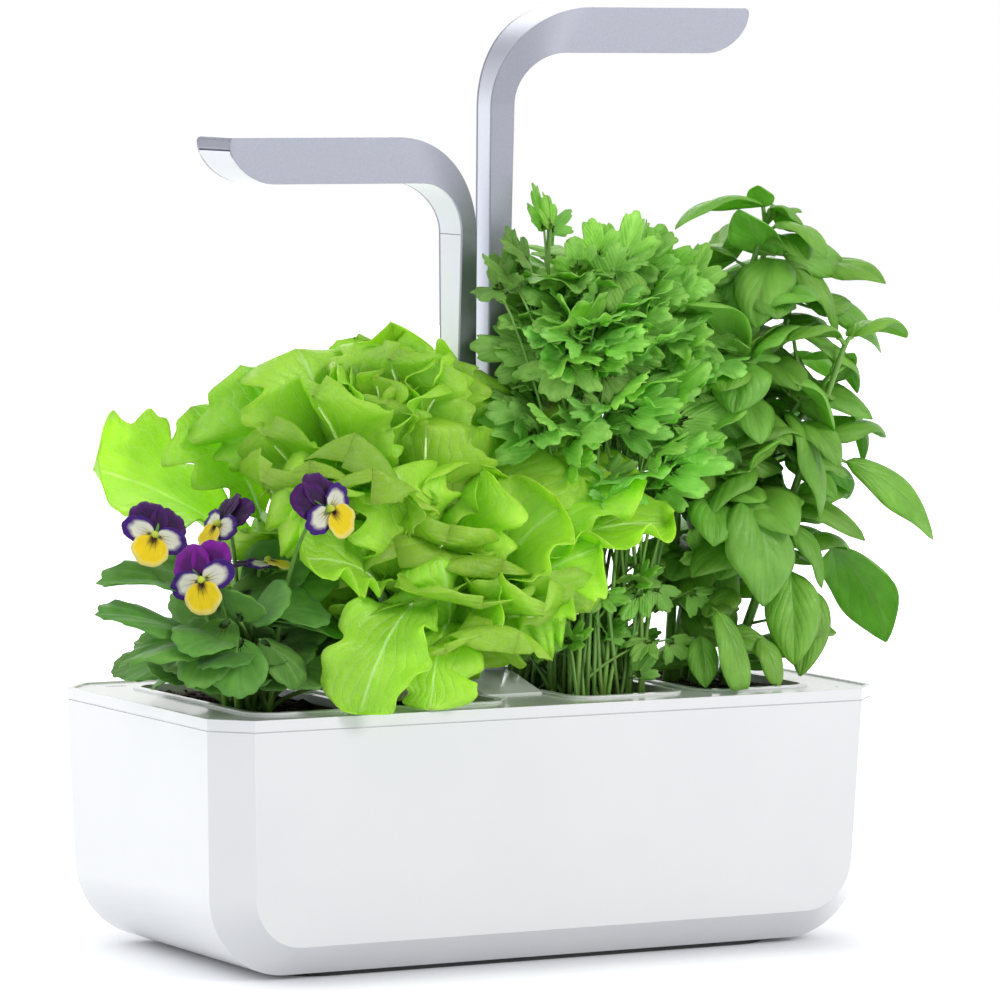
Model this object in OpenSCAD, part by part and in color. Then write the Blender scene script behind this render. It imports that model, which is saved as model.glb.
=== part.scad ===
// Countertop hydroponic garden: a water tank closed by a lift-off tray with four plant
// pods, and two lamps whose columns slide up and down in the middle of the tray.
// Millimetres, +X right, +Y to the back, +Z up. The origin is the centre of the
// underside of the foot mat.

/* [Tank] */
// Width of the tank at the seam, side to side
tank_w = 320; // [310:1:360]
// Depth of the tank at the seam, front to back
tank_d = 162; // [160:1:190]
// Height of the seam between tank and tray above the table
seam_z = 105; // [104:1:120]
// Width of the facet on each vertical edge, seen from the front
facet_x = 14.3; // [8:0.1:16]
// Depth of the same facet, seen from the side
facet_y = 14.6; // [8:0.1:16]
// Lean of the four walls, in degrees
wall_lean = 2.2; // [1:0.1:3]
// Radius of the lower corners of the whole outline
outline_r = 36; // [24:1:44]
// Radius of the lower corners of the front face
face_r = 22; // [14:1:30]
// Height of the bevel along the bottom edge
bevel_h = 13.4; // [8:0.1:18]
// Thickness of the tank's walls
wall = 2.4; // [1.8:0.1:3]
// Thickness of the foot mat
mat_h = 2; // [1.5:0.1:4]
// Width of the foot mat
mat_w = 236; // [180:1:240]
// Depth of the foot mat
mat_d = 121; // [90:1:124]
// Radius of the foot mat's corners
mat_r = 20; // [5:1:40]

/* [Tray] */
// Height of the tray's rim above the seam
rim_h = 5.2; // [4.8:0.1:8]
// Thickness of the tray's plate
plate_t = 2.6; // [2:0.1:3]
// Width of the lip along the tray's edge
lip_w = 2.4; // [1.5:0.1:4]
// Height of that lip above the plate
lip_h = 0.6; // [0.3:0.1:1]
// Height of the dark groove at the seam
groove_h = 0.5; // [0.3:0.1:0.8]
// Depth of the groove at the seam
groove_t = 0.7; // [0.4:0.1:1.2]
// Depth of the skirt that drops into the tank
skirt_h = 6; // [4:0.5:10]
// Thickness of that skirt
skirt_t = 2; // [1.5:0.1:3]
// Gap between the skirt and the tank's wall
skirt_gap = 0.4; // [0.3:0.1:0.8]

/* [Pods] */
// Width of a pod's rim
pod_w = 58; // [50:1:58]
// Length of a pod's rim, front to back
pod_l = 124; // [110:1:126]
// Radius of the rim's corners
pod_r = 13; // [8:0.5:20]
// Space between two neighbouring pods
pod_gap = 5.5; // [4.5:0.5:8]
// Width of the rim that lies on the tray
pod_lip = 2; // [1.5:0.1:3]
// Thickness of the rim
pod_lip_t = 1; // [0.6:0.1:1.6]
// Depth of a pod's cup below the tray's surface
cup_h = 60; // [40:1:66]
// Thickness of a cup's walls
cup_t = 1.5; // [1.2:0.1:2]
// Gap between a cup and its opening in the tray
cup_gap = 0.5; // [0.3:0.1:0.9]
// Gap between the substrate and the cup
soil_gap = 0.3; // [0.2:0.1:0.6]
// Depth of the substrate's surface below the tray's surface
soil_drop = 2.8; // [1:0.1:8]
// Width of a wick
wick_w = 14; // [8:1:24]
// Thickness of a wick
wick_t = 2; // [1:0.1:4]
// Length of wick inside the substrate
wick_in = 26; // [10:1:30]
// Gap round a wick in its slot
wick_gap = 0.2; // [0.1:0.1:0.4]
// Gap between a wick and the tank's floor
wick_floor_gap = 0.3; // [0.2:0.1:3]
// Diameter of the drain holes in a cup's floor
drain_d = 4; // [3:0.5:6]

/* [Mast] */
// Width of the collar on the tray
collar_w = 27.8; // [27.4:0.1:28.4]
// Height of the collar's top above the tray's surface
collar_h = 7.4; // [5:0.1:10]
// Length of the flat top of the collar, front to back
collar_top = 20; // [18:1:26]
// Length of the collar's foot, front to back
collar_foot = 72; // [66:1:76]
// Height of the collar's end faces
collar_edge = 0.8; // [0.5:0.1:2]
// Gap between the collar and the pods' rims
collar_gap = 0.6; // [0.4:0.1:2]
// Gap between a column and its channel, on each side
slide_gap = 0.25; // [0.2:0.05:0.35]
// Gap between a column and its brake pads
pad_gap = 0.05; // [0.05:0.01:0.1]
// Thickness of the sleeve's front and rear walls
sleeve_t = 1.6; // [1.4:0.1:2]
// Thickness of the sleeve's floor
sleeve_floor = 2.5; // [1.5:0.1:4]
// Thickness of the flange at the top of the sleeve
flange_t = 2; // [1.5:0.1:3]
// Length of that flange, front to back
flange_l = 68; // [64:1:68]
// Distance between the screws, side to side
screw_dx = 14; // [12:0.5:16]
// Distance between the screws, front to back
screw_dy = 56; // [52:0.5:58]
// Diameter of the screws' shanks
screw_d = 2.2; // [2:0.1:2.6]
// Diameter of the screws' heads
screw_head_d = 4.4; // [4:0.1:5]
// Height of the screws' heads
screw_head_h = 1.6; // [1.2:0.1:2]
// Length of a brake pad
pad_l = 12; // [8:1:20]
// Width of a brake pad
pad_w = 6; // [4:0.5:8]
// Thickness of a brake pad
pad_t = 0.9; // [0.6:0.1:1.1]

/* [Lamps] */
// Height of the top of a raised lamp above the table
lamp_top = 400; // [385:1:420]
// Travel of a column between its lowest and highest place
travel = 55; // [30:1:55]
// Distance from the middle of the garden to the back face of a column
arm_x = 3.3; // [3:0.1:3.6]
// Thickness of a column, side to side
arm_t = 9.1; // [8.6:0.1:9.2]
// Width of a column's back face, front to back
arm_w = 13.2; // [12:0.1:14]
// Width of a column's inner face where the bend starts
arm_inner_w = 21; // [16:0.5:24]
// Length over which the inner face narrows to the back face's width
taper_l = 120; // [80:1:130]
// Length of a column and lamp, from the lamp's top to the column's end
arm_l = 327; // [322:1:328]
// Width of a lamp's head, front to back
head_w = 31.2; // [28:0.1:34]
// Thickness of a lamp's head
head_t = 19.4; // [18:0.1:21]
// Distance from the middle of the garden to a lamp's tip
reach = 125.2; // [115:0.1:140]
// Radius of the outside of the bend
bend_out_r = 43; // [41:0.5:46]
// Radius of the inside of the bend
bend_in_r = 22; // [18:0.5:26]
// Length of the rounded tip
tip_l = 20.6; // [16:0.1:24]
// Height of the tip's upright end
nose_h = 4.7; // [4:0.1:6]
// Thickness of the outer band
band_t = 1.4; // [1:0.1:1.8]
// Thickness of the side plates
side_t = 1.2; // [0.8:0.1:1.5]
// Thickness of the diffuser and of the column's white cover
cover_t = 1.2; // [0.8:0.1:1.5]
// Gap between neighbouring covers
seam_gap = 0.06; // [0.04:0.01:0.15]
// Thickness of the aluminium spine
spine_t = 2.2; // [1.5:0.1:2.4]
// Thickness of the ribbon cable
ribbon_t = 0.6; // [0.4:0.1:1]
// Width of the ribbon cable
ribbon_w = 6; // [4:0.5:7]
// Distance from the LED board's end to the lamp's tip
board_end = 18.9; // [18:0.1:60]
// Width of the LED board
board_w = 22; // [16:0.5:24]
// Thickness of the LED board
board_t = 1.4; // [1:0.1:2]
// Number of LEDs along a board
led_n = 7; // [3:1:9]
// Size of an LED
led_s = 3.2; // [2:0.1:4]
// Height of an LED
led_h = 1; // [0.6:0.1:1.2]
// Thickness of the end block that closes a column
end_t = 3; // [2:0.5:5]

/* [Controls] */
// Width of the control housing
housing_w = 31.4; // [30:0.1:32]
// Height of the control housing
housing_h = 23; // [21:0.5:26]
// Thickness of the control housing's walls
housing_t = 1.6; // [1.2:0.1:2]
// Depth of the control board below the tray's plate
pcb_drop = 9; // [8:0.1:9]
// Thickness of the control board
pcb_t = 1.6; // [1:0.1:2]
// Gap between the control board and the housing's walls
pcb_gap = 0.6; // [0.4:0.1:1]
// Distance from the middle of the tray back to the power button
button_y = 46; // [45:0.5:50]
// Diameter of the power button
button_d = 10; // [7:0.5:11]
// Gap round the power button
button_gap = 0.3; // [0.25:0.05:0.4]
// Travel of the power button
button_travel = 1; // [0.6:0.1:1]
// Height of the power button above the tray's surface
button_proud = 1.3; // [1.1:0.1:2]
// Width of the socket block that reaches through the tank's rear wall
socket_w = 17.4; // [14:0.1:20]
// Height of the socket block
socket_h = 14.5; // [12:0.5:15]
// Inner diameter of the power socket
socket_d = 5.7; // [5.6:0.1:6]
// Diameter of the power socket's pin
socket_pin_d = 2; // [1.9:0.1:2.4]
// Depth of the power socket
socket_depth = 9.5; // [8:0.5:9.5]
// Gap between the socket block and the notch in the tank
notch_gap = 0.4; // [0.3:0.1:0.8]
// Distance of the indicator from the middle, side to side
light_x = 143.7; // [142:0.1:145]
// Distance of the indicator from the middle, front to back
light_y = 64; // [62:0.1:66]
// Diameter of the indicator's light pipe
light_d = 2.4; // [2:0.1:3]

/* [Water level] */
// Distance of the float from the middle, side to side
float_x = 137; // [136:0.5:141]
// Distance of the float from the middle, front to back
float_y = 66; // [65:0.5:67]
// Diameter of the float
float_d = 9.2; // [8:0.1:9.4]
// Length of the float
float_l = 24; // [15:1:26]
// Travel of the float
float_travel = 30; // [20:1:30]
// Gap between the float and its guide tube
float_gap = 0.5; // [0.4:0.1:0.6]
// Thickness of the guide tube
guide_t = 1; // [0.8:0.1:1.2]
// Length of the level window
window_l = 10; // [6:0.5:11]
// Width of the level window
window_w = 3.2; // [2.5:0.1:4]

/* [Plants] */
// Height of the lettuce above the table
lettuce_top = 262; // [230:1:268]
// Height of the parsley above the table
parsley_top = 306; // [250:1:310]
// Number of parsley stems
parsley_n = 13; // [8:1:20]
// Height of the basil above the table
basil_top = 312; // [250:1:316]
// Number of basil stems
basil_n = 5; // [4:1:7]
// Number of viola leaves
viola_n = 21; // [12:1:30]
// Diameter of a viola flower
flower_d = 31; // [24:1:38]
// Space kept free between neighbouring plants
plant_gap = 0.8; // [0.5:0.1:2]

/* [Hidden] */

slim = 0.01;
white = [0.93, 0.93, 0.94];
silver = [0.66, 0.68, 0.71];
soil_brown = [0.17, 0.12, 0.09];
lean = tan(wall_lean);
half_w = tank_w / 2;
half_d = tank_d / 2;
rim_z = seam_z + rim_h;
deck_z = rim_z - lip_h;             // surface of the tray
under_z = deck_z - plate_t;         // underside of the tray's plate
deck_w = half_w - facet_x;
deck_d = half_d - facet_y;

// pods stand in a row, two on each side of the collar
pod_x1 = collar_w / 2 + collar_gap + pod_w / 2;
pod_x2 = pod_x1 + pod_w + pod_gap;
pod_xs = [-pod_x2, -pod_x1, pod_x1, pod_x2];
cup_w = pod_w - 2 * pod_lip;
cup_l = pod_l - 2 * pod_lip;
cup_r = pod_r - pod_lip;
cup_z = deck_z - cup_h;
soil_w = cup_w - 2 * cup_t - 2 * soil_gap;
soil_l = cup_l - 2 * cup_t - 2 * soil_gap;
soil_r = cup_r - cup_t - soil_gap;
soil_z = deck_z - soil_drop;
soil_foot = cup_z + cup_t + soil_gap;
tank_floor = mat_h + wall;
wick_z = tank_floor + wick_floor_gap;

// mast
channel_x = arm_x + arm_t / 2;
channel_w = arm_t + 2 * slide_gap;
channel_l = arm_w + 2 * slide_gap;
sleeve_l = channel_l + 2 * sleeve_t;
column_low = lamp_top - travel - arm_l;
sleeve_z = column_low - slide_gap - sleeve_floor;
collar_z = deck_z + collar_h;
pad_z = under_z - pad_l / 2 - 2;

// controls
housing_y0 = flange_l / 2 + 0.5;
housing_y1 = half_d - 8;
housing_z = under_z - housing_h;
pcb_z = under_z - pcb_drop;
switch_z = pcb_z + pcb_t;
switch_h = 3.6;
button_top = deck_z + button_proud;
button_foot = switch_z + switch_h + button_travel + button_gap;
button_flange_t = 1;
socket_top = seam_z - notch_gap;
socket_z = socket_top - socket_h / 2;
socket_y = half_d - lean * (seam_z - socket_z) - 0.4;
socket_body_r = 4.6;
socket_back = 1.4;                  // thickness of the socket's closed end
light_l = plate_t + 5;
guide_d = float_d + 2 * float_gap;
float_low = under_z - float_l - float_travel - 2;
guide_z = float_low - 1.5;
skirt_in = wall + lean * skirt_h + skirt_gap;
screw_bite = 1.7;                   // length of screw in the collar

// lamps
bend_n = 10;                        // steps round a bend
prism_z = -bend_out_r - taper_l;
head_in_x = arm_x + arm_t;
tip_x = reach - tip_l;
tip_drop = 2.3;                     // the tip's end lies this far below the lamp's top
tip_power = 1.8;                    // roundness of the tip, 2 being an ellipse
tip_angles = [90, 72, 58, 44, 27];
spine_u = band_t + 0.1;
spine_off = side_t + 0.3;
spine_low = spine_u + spine_t;
sink_x0 = arm_x + bend_out_r + 4;
board_x0 = sink_x0 - 6;
board_l = reach - board_end - board_x0;
board_z = head_t - cover_t - led_h - board_t - 1;
sink_l = board_l - 6;
fin_n = 8;
fin_t = 1.4;

// ---------- outlines and lofts ----------

// Octagon with facets at its four corners, drawn inset by d
module faceted_outline(d) {
    k = d * (1 - sin(45)) / sin(45);
    x1 = half_w - d;
    y1 = half_d - d;
    x0 = deck_w - k;
    y0 = deck_d - k;
    polygon([[x1, -y0], [x1, y0], [x0, y1], [-x0, y1], [-x1, y0], [-x1, -y0], [-x0, -y1], [x0, -y1]]);
}

// Rectangle with round corners
module round_rect(w, l, r) {
    square([w - 2 * r, l], center = true);
    square([w, l - 2 * r], center = true);
    for (x = [-1, 1], y = [-1, 1])
        translate([x * (w / 2 - r), y * (l / 2 - r)]) circle(r = r, $fn = 64);
}

module round_block(w, l, r, z0, z1) {
    translate([0, 0, z0]) linear_extrude(z1 - z0) round_rect(w, l, r);
}

// Lower half outline of the tank from the seam down to its bottom, as [x, z] points
function u_half(x_top, z_top, z_low, r, n) = concat(
    [[x_top, z_top]],
    [for (i = [0:n]) let (a = 90 * i / n)
        [x_top - lean * (seam_z - z_low - r) - r + r * cos(a), z_low + r - r * sin(a)]]
);

// Points of one wall outline, mirrored in X and Y, leaning inwards as it goes down
function u_points(x_top, z_top, z_low, r, y_top, n) = [
    for (p = u_half(x_top, z_top, z_low, r, n), sx = [-1, 1], sy = [-1, 1])
        [sx * p[0], sy * (y_top - lean * (seam_z - p[1])), p[1]]
];

// Convex solid of the tank, drawn inset by d and reaching up to z_top
module tank_form(d, z_top, n) {
    points = concat(
        u_points(half_w - d, z_top, mat_h + d, outline_r - d, deck_d, n),
        u_points(deck_w - d / 2, z_top, mat_h + bevel_h + d / 2, face_r - d / 2, half_d - d, n)
    );
    hull() polyhedron(points = points, faces = [for (i = [0:len(points) - 3]) [i, i + 1, i + 2]]);
}

// Closed solid through rings of points, all rings having as many points. The two halves of
// a ring are split along the same diagonals, so a thin plate keeps its thickness.
module loft(rings) {
    n = len(rings[0]);
    m = len(rings);
    polyhedron(
        points = [for (ring = rings) for (p = ring) p],
        faces = concat(
            [for (i = [1:n - 2]) [0, i, i + 1]],
            [for (k = [0:m - 2], i = [0:n - 1]) let (j = (i + 1) % n)
                [k * n + i, (k + 1) * n + (i < n / 2 ? i : j), k * n + j]],
            [for (k = [0:m - 2], i = [0:n - 1]) let (j = (i + 1) % n)
                [k * n + (i < n / 2 ? j : i), (k + 1) * n + i, (k + 1) * n + j]],
            [for (i = [1:n - 2]) [(m - 1) * n, (m - 1) * n + i + 1, (m - 1) * n + i]]
        )
    );
}

// ---------- tank ----------

module tank() {
    color(white) difference() {
        tank_form(0, seam_z, 20);
        tank_form(wall, seam_z + 1, 14);
        translate([-socket_w / 2 - notch_gap, half_d - 12, socket_top - socket_h - notch_gap])
            cube([socket_w + 2 * notch_gap, 14, socket_h + 10]);
    }
}

module foot_mat() {
    color([0.2, 0.2, 0.21]) round_block(mat_w, mat_d, mat_r, 0, mat_h);
}

// ---------- tray ----------

module tray() {
    color(white) difference() {
        union() {
            translate([0, 0, seam_z + groove_h]) linear_extrude(rim_h - groove_h) faceted_outline(0);
            translate([0, 0, seam_z]) linear_extrude(groove_h + slim) faceted_outline(groove_t);
            translate([0, 0, seam_z - skirt_h]) linear_extrude(skirt_h + slim)
                faceted_outline(skirt_in);
        }
        translate([0, 0, deck_z]) linear_extrude(lip_h + 1) faceted_outline(lip_w);
        translate([0, 0, seam_z - skirt_h - 1]) linear_extrude(under_z - seam_z + skirt_h + 1)
            faceted_outline(skirt_in + skirt_t);
        for (x = pod_xs) translate([x, 0, 0])
            round_block(cup_w + 2 * cup_gap, cup_l + 2 * cup_gap, cup_r + cup_gap, seam_z - 20, rim_z);
        translate([-collar_w / 2 - slim, -sleeve_l / 2 - 0.1, under_z - 1])
            cube([collar_w + 2 * slim, sleeve_l + 0.2, plate_t + 2]);
        screw_places() translate([0, 0, under_z - 1]) cylinder(d = screw_d + 0.2, h = 5, $fn = 32);
        translate([0, button_y, under_z - 1])
            cylinder(d = button_d + 2 * button_gap, h = 5, $fn = 64);
        translate([light_x, -light_y, under_z - 1]) cylinder(d = light_d, h = 5, $fn = 32);
        translate([-float_x, float_y, 0])
            round_block(window_l, window_w, window_w / 2 - 0.01, under_z - 1, deck_z + 1);
        translate([-socket_w / 2 - notch_gap, half_d - 12, seam_z - skirt_h - 1])
            cube([socket_w + 2 * notch_gap, 20, skirt_h + 1]);
    }
}

module screw_places() {
    for (x = [-1, 1], y = [-1, 1])
        translate([x * screw_dx / 2, y * screw_dy / 2, 0]) children();
}

module channels(z0, z1) {
    for (s = [-1, 1])
        translate([s * channel_x - channel_w / 2, -channel_l / 2, z0])
            cube([channel_w, channel_l, z1 - z0]);
}

module mast_sleeve() {
    color(white) difference() {
        union() {
            translate([-collar_w / 2, -sleeve_l / 2, sleeve_z])
                cube([collar_w, sleeve_l, deck_z - sleeve_z]);
            translate([-collar_w / 2, -flange_l / 2, under_z - flange_t])
                cube([collar_w, flange_l, flange_t]);
        }
        channels(sleeve_z + sleeve_floor, deck_z + 1);
        screw_places() translate([0, 0, under_z - flange_t - 1])
            cylinder(d = screw_d + 0.2, h = flange_t + 2, $fn = 32);
        pad_places(0.02, channel_l / 2 - 1);
    }
}

// Pockets and pads beside the columns; grow widens them and y0 is where they start
module pad_places(grow, y0) {
    for (s = [-1, 1], f = [-1, 1])
        translate([s * channel_x, f * (y0 + (arm_w / 2 + pad_gap + pad_t + grow)) / 2, pad_z])
            cube([pad_w + 2 * grow, arm_w / 2 + pad_gap + pad_t + grow - y0, pad_l + 2 * grow],
                center = true);
}

module brake_pads() {
    color([0.25, 0.25, 0.27]) pad_places(0, arm_w / 2 + pad_gap);
}

module mast_collar() {
    color(white) difference() {
        translate([-collar_w / 2, 0, 0]) rotate([90, 0, 90]) linear_extrude(collar_w)
            polygon([
                [-collar_foot / 2, deck_z], [collar_foot / 2, deck_z],
                [collar_foot / 2, deck_z + collar_edge], [collar_top / 2, collar_z],
                [-collar_top / 2, collar_z], [-collar_foot / 2, deck_z + collar_edge]
            ]);
        channels(deck_z - 1, collar_z + 1);
        screw_places() translate([0, 0, deck_z - 1])
            cylinder(d = screw_d, h = 1 + screw_bite, $fn = 32);
    }
}

module mast_screws() {
    color("silver") screw_places() {
        translate([0, 0, under_z - flange_t - screw_head_h])
            cylinder(d = screw_head_d, h = screw_head_h, $fn = 32);
        translate([0, 0, under_z - flange_t - slim])
            cylinder(d = screw_d, h = flange_t + plate_t + screw_bite + slim, $fn = 32);
    }
}

// ---------- controls ----------

module control_housing() {
    in_w = housing_w - 2 * housing_t;
    color([0.85, 0.85, 0.86]) difference() {
        union() {
            translate([-housing_w / 2, housing_y0, housing_z])
                cube([housing_w, housing_y1 - housing_y0, housing_h]);
            translate([-socket_w / 2, housing_y1 - 1, socket_top - socket_h])
                cube([socket_w, socket_y - housing_y1 + 1, socket_h]);
        }
        difference() {
            translate([-in_w / 2, housing_y0 + housing_t, housing_z + housing_t])
                cube([in_w, housing_y1 - housing_y0 - 2 * housing_t, housing_h]);
            for (s = [-1, 1], y = [housing_y0 + 6, housing_y1 - 6])
                translate([s * (in_w / 2 - 3), y, housing_z])
                    cylinder(d = 3.2, h = pcb_z - housing_z, $fn = 32);
        }
        translate([0, socket_y + 1, socket_z]) rotate([90, 0, 0])
            cylinder(r = socket_body_r + 0.05, h = socket_depth + 2.5, $fn = 64);
    }
}

module control_board() {
    w = housing_w - 2 * housing_t - 2 * pcb_gap;
    y0 = housing_y0 + housing_t + pcb_gap;
    y1 = socket_y - socket_depth - socket_back - pcb_gap;
    color([0.1, 0.4, 0.2]) {
        translate([-w / 2, y0, pcb_z]) cube([w, y1 - y0, pcb_t]);
        // timer chip, capacitor and connector
        translate([-9, y1 - 14, switch_z - slim]) cube([8, 6, 1.2]);
        translate([7, y1 - 8, switch_z - slim]) cylinder(d = 5, h = 5, $fn = 32);
        translate([-4, y1 - 5, pcb_z - 3]) cube([8, 4, 3 + slim]);
    }
}

module button_switch() {
    color([0.2, 0.2, 0.22]) translate([0, button_y, switch_z]) {
        translate([-3, -3, 0]) cube([6, 6, switch_h - 0.8]);
        cylinder(d = 3, h = switch_h, $fn = 32);
    }
}

module power_button() {
    color([0.75, 0.76, 0.78]) translate([0, button_y, 0]) {
        translate([0, 0, under_z - button_gap - slim])
            cylinder(d = button_d, h = button_top - under_z + button_gap + slim, $fn = 64);
        translate([0, 0, under_z - button_gap - button_flange_t])
            cylinder(d = button_d + 2, h = button_flange_t, $fn = 64);
        translate([0, 0, button_foot])
            cylinder(d = 3, h = under_z - button_gap - button_flange_t - button_foot + slim, $fn = 32);
    }
}

module power_socket() {
    color([0.15, 0.15, 0.16]) translate([0, socket_y, socket_z]) rotate([90, 0, 0]) {
        difference() {
            cylinder(r = socket_body_r, h = socket_depth + socket_back, $fn = 64);
            translate([0, 0, -1]) cylinder(d = socket_d, h = socket_depth + 1, $fn = 64);
        }
        translate([0, 0, 0.6]) cylinder(d = socket_pin_d, h = socket_depth - 0.5, $fn = 32);
    }
}

module light_pipe() {
    color([0.8, 0.9, 0.85]) translate([light_x, -light_y, deck_z - light_l])
        cylinder(d = light_d, h = light_l, $fn = 32);
}

module indicator_led() {
    color([0.3, 0.32, 0.3]) translate([light_x, -light_y, 0]) difference() {
        translate([0, 0, under_z - 8]) cylinder(d = 8, h = 8, $fn = 48);
        translate([0, 0, deck_z - light_l]) cylinder(d = light_d, h = light_l, $fn = 32);
    }
}

module level_window() {
    color([0.75, 0.85, 0.9]) translate([-float_x, float_y, 0])
        round_block(window_l, window_w, window_w / 2 - 0.01, under_z, deck_z);
}

module float_guide() {
    color([0.8, 0.85, 0.88]) translate([-float_x, float_y, 0]) difference() {
        translate([0, 0, guide_z]) cylinder(d = guide_d + 2 * guide_t, h = under_z - guide_z, $fn = 64);
        translate([0, 0, float_low]) cylinder(d = guide_d, h = under_z - float_low + 1, $fn = 64);
        translate([0, 0, guide_z - 1]) cylinder(d = guide_d - 3, h = 5, $fn = 48);
        // slots that let the water in
        translate([-1.5, -guide_d, float_low + 8]) cube([3, 2 * guide_d, float_travel]);
    }
}

module level_float() {
    color([0.9, 0.35, 0.2]) translate([-float_x, float_y, float_low + 0.02])
        cylinder(d = float_d, h = float_l, $fn = 64);
}

// ---------- lamps ----------

// Each station across an arm is [back x, back z, inner x, inner z, back half width,
// inner half width, cover thickness], with x measured out from the middle of the garden
// and z down from the lamp's top.
function ease(t) = t * t * (3 - 2 * t);
function column_station(z, wi) = [arm_x, z, head_in_x, z, arm_w / 2, wi, cover_t];
function bend_station(t) = let (a = 90 * t, k = ease(t)) [
    arm_x + bend_out_r * (1 - cos(a)), -bend_out_r * (1 - sin(a)),
    head_in_x + bend_in_r * (1 - cos(a)), -head_t - bend_in_r * (1 - sin(a)),
    arm_w / 2 + k * (head_w - arm_w) / 2,
    arm_inner_w / 2 + k * (head_w - arm_inner_w) / 2,
    cover_t
];
function tip_station(a) = let (
    x = tip_x + tip_l * pow(cos(a), 2 / tip_power),
    z = -tip_drop - (head_t - tip_drop) * pow(sin(a), 2 / tip_power)
) [x, 0, x, z, head_w / 2, head_w / 2, min(3, cover_t / max(0.3, sin(a)))];

column_stations = [
    column_station(-arm_l + end_t, arm_w / 2),
    column_station(prism_z, arm_w / 2),
    column_station(-bend_out_r - taper_l / 2, (arm_w + arm_inner_w) / 4),
    column_station(-bend_out_r, arm_inner_w / 2)
];
head_stations = concat(
    [for (i = [0:bend_n]) bend_station(i / bend_n)],
    [for (a = tip_angles) tip_station(a)]
);
all_stations = concat(
    [for (i = [0:2]) column_stations[i]],
    head_stations
);

// Distance between the back and the inner line at station s
function depth(s) = norm([s[2] - s[0], s[3] - s[1]]);
// Half width of the arm at depth u behind the back line
function half_at(s, u) = s[4] + (s[5] - s[4]) * u / depth(s);
// Point at depth u, a distance off inside the front (side -1) or rear (side 1) face
function arm_point(s, u, side, off, zt) = let (k = u / depth(s)) [
    s[0] + (s[2] - s[0]) * k, side * (half_at(s, u) - off), zt + s[1] + (s[3] - s[1]) * k
];
// Ring between depths u0 and u1, across the arm and set in by off on both sides
function cross_ring(s, u0, u1, off, zt) = [
    arm_point(s, u0, -1, off, zt), arm_point(s, u1, -1, off, zt),
    arm_point(s, u1, 1, off, zt), arm_point(s, u0, 1, off, zt)
];
// Ring of a side plate between depths u0 and u1, turned the same way on both faces
function side_ring(s, u0, u1, side, zt) = let (
    a = side < 0 ? 0 : side_t,
    b = side_t - a
) [
    arm_point(s, u0, side, a, zt), arm_point(s, u1, side, a, zt),
    arm_point(s, u1, side, b, zt), arm_point(s, u0, side, b, zt)
];

// The left arm mirrors the right one and stands lower by the travel
module hand(side) {
    if (side > 0) children();
    else mirror([1, 0, 0]) children();
}
function top_of(side) = side > 0 ? lamp_top : lamp_top - travel;

nose_x = tip_station(tip_angles[4])[0];

module band(side) {
    zt = top_of(side);
    s = head_stations[len(head_stations) - 1];
    nose = depth(s) - s[6] - seam_gap;
    color(silver) hand(side) {
        loft([for (s = all_stations) cross_ring(s, 0, band_t, 0, zt)]);
        // upright end of the tip, with its upper edge rounded off
        loft([
            [[nose_x - slim, -head_w / 2, zt - nose], [nose_x - slim, head_w / 2, zt - nose],
             [nose_x - slim, head_w / 2, zt], [nose_x - slim, -head_w / 2, zt]],
            [[reach - 1, -head_w / 2, zt - nose_h - 0.5], [reach - 1, head_w / 2, zt - nose_h - 0.5],
             [reach - 1, head_w / 2, zt], [reach - 1, -head_w / 2, zt]],
            [[reach, -head_w / 2, zt - nose_h], [reach, head_w / 2, zt - nose_h],
             [reach, head_w / 2, zt - 1], [reach, -head_w / 2, zt - 1]]
        ]);
    }
}

module side_plate(side, face) {
    zt = top_of(side);
    color([0.6, 0.62, 0.65]) hand(side) loft([
        for (s = all_stations)
            side_ring(s, band_t + seam_gap, depth(s) - s[6] - seam_gap, face, zt)
    ]);
}

module diffuser(side) {
    zt = top_of(side);
    end = tip_station(27);
    color([0.97, 0.97, 0.97]) hand(side) {
        loft([for (s = head_stations) cross_ring(s, depth(s) - s[6], depth(s), 0, zt)]);
        loft([
            cross_ring(end, depth(end) - end[6], depth(end), 0, zt),
            [[reach - 0.6, -head_w / 2, zt - nose_h - 1], [reach - 0.6, -head_w / 2, zt - nose_h - 2.4],
             [reach - 0.6, head_w / 2, zt - nose_h - 2.4], [reach - 0.6, head_w / 2, zt - nose_h - 1]]
        ]);
    }
}

module column_cover(side) {
    zt = top_of(side);
    color([0.95, 0.95, 0.96]) hand(side) translate([0, 0, -seam_gap]) loft([
        for (s = column_stations) cross_ring(s, arm_t - cover_t, arm_t, 0, zt)
    ]);
}

module spine(side) {
    zt = top_of(side);
    n = len(all_stations) - 3;
    color([0.8, 0.81, 0.82]) hand(side) loft([
        for (i = [0:n]) cross_ring(all_stations[i], spine_u, spine_u + spine_t, spine_off, zt)
    ]);
}

module heat_sink(side) {
    zt = top_of(side);
    w = head_w - 2 * side_t - 5;
    color([0.75, 0.76, 0.78]) hand(side) {
        translate([sink_x0, -w / 2, zt - board_z + 0.02]) cube([sink_l, w, 2]);
        for (i = [0:fin_n - 1])
            translate([sink_x0, -w / 2 + i * (w - fin_t) / (fin_n - 1), zt - board_z + 1])
                cube([sink_l, fin_t, board_z - spine_low - 1 - 0.05]);
    }
}

module led_board(side) {
    zt = top_of(side);
    color([0.9, 0.9, 0.88]) hand(side) {
        translate([board_x0, -board_w / 2, zt - board_z - board_t])
            cube([board_l, board_w, board_t]);
        // plug of the ribbon cable
        translate([board_x0, -ribbon_w / 2, zt - board_z - slim])
            cube([5, ribbon_w, board_z - spine_low - ribbon_t - 0.2]);
    }
}

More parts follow.
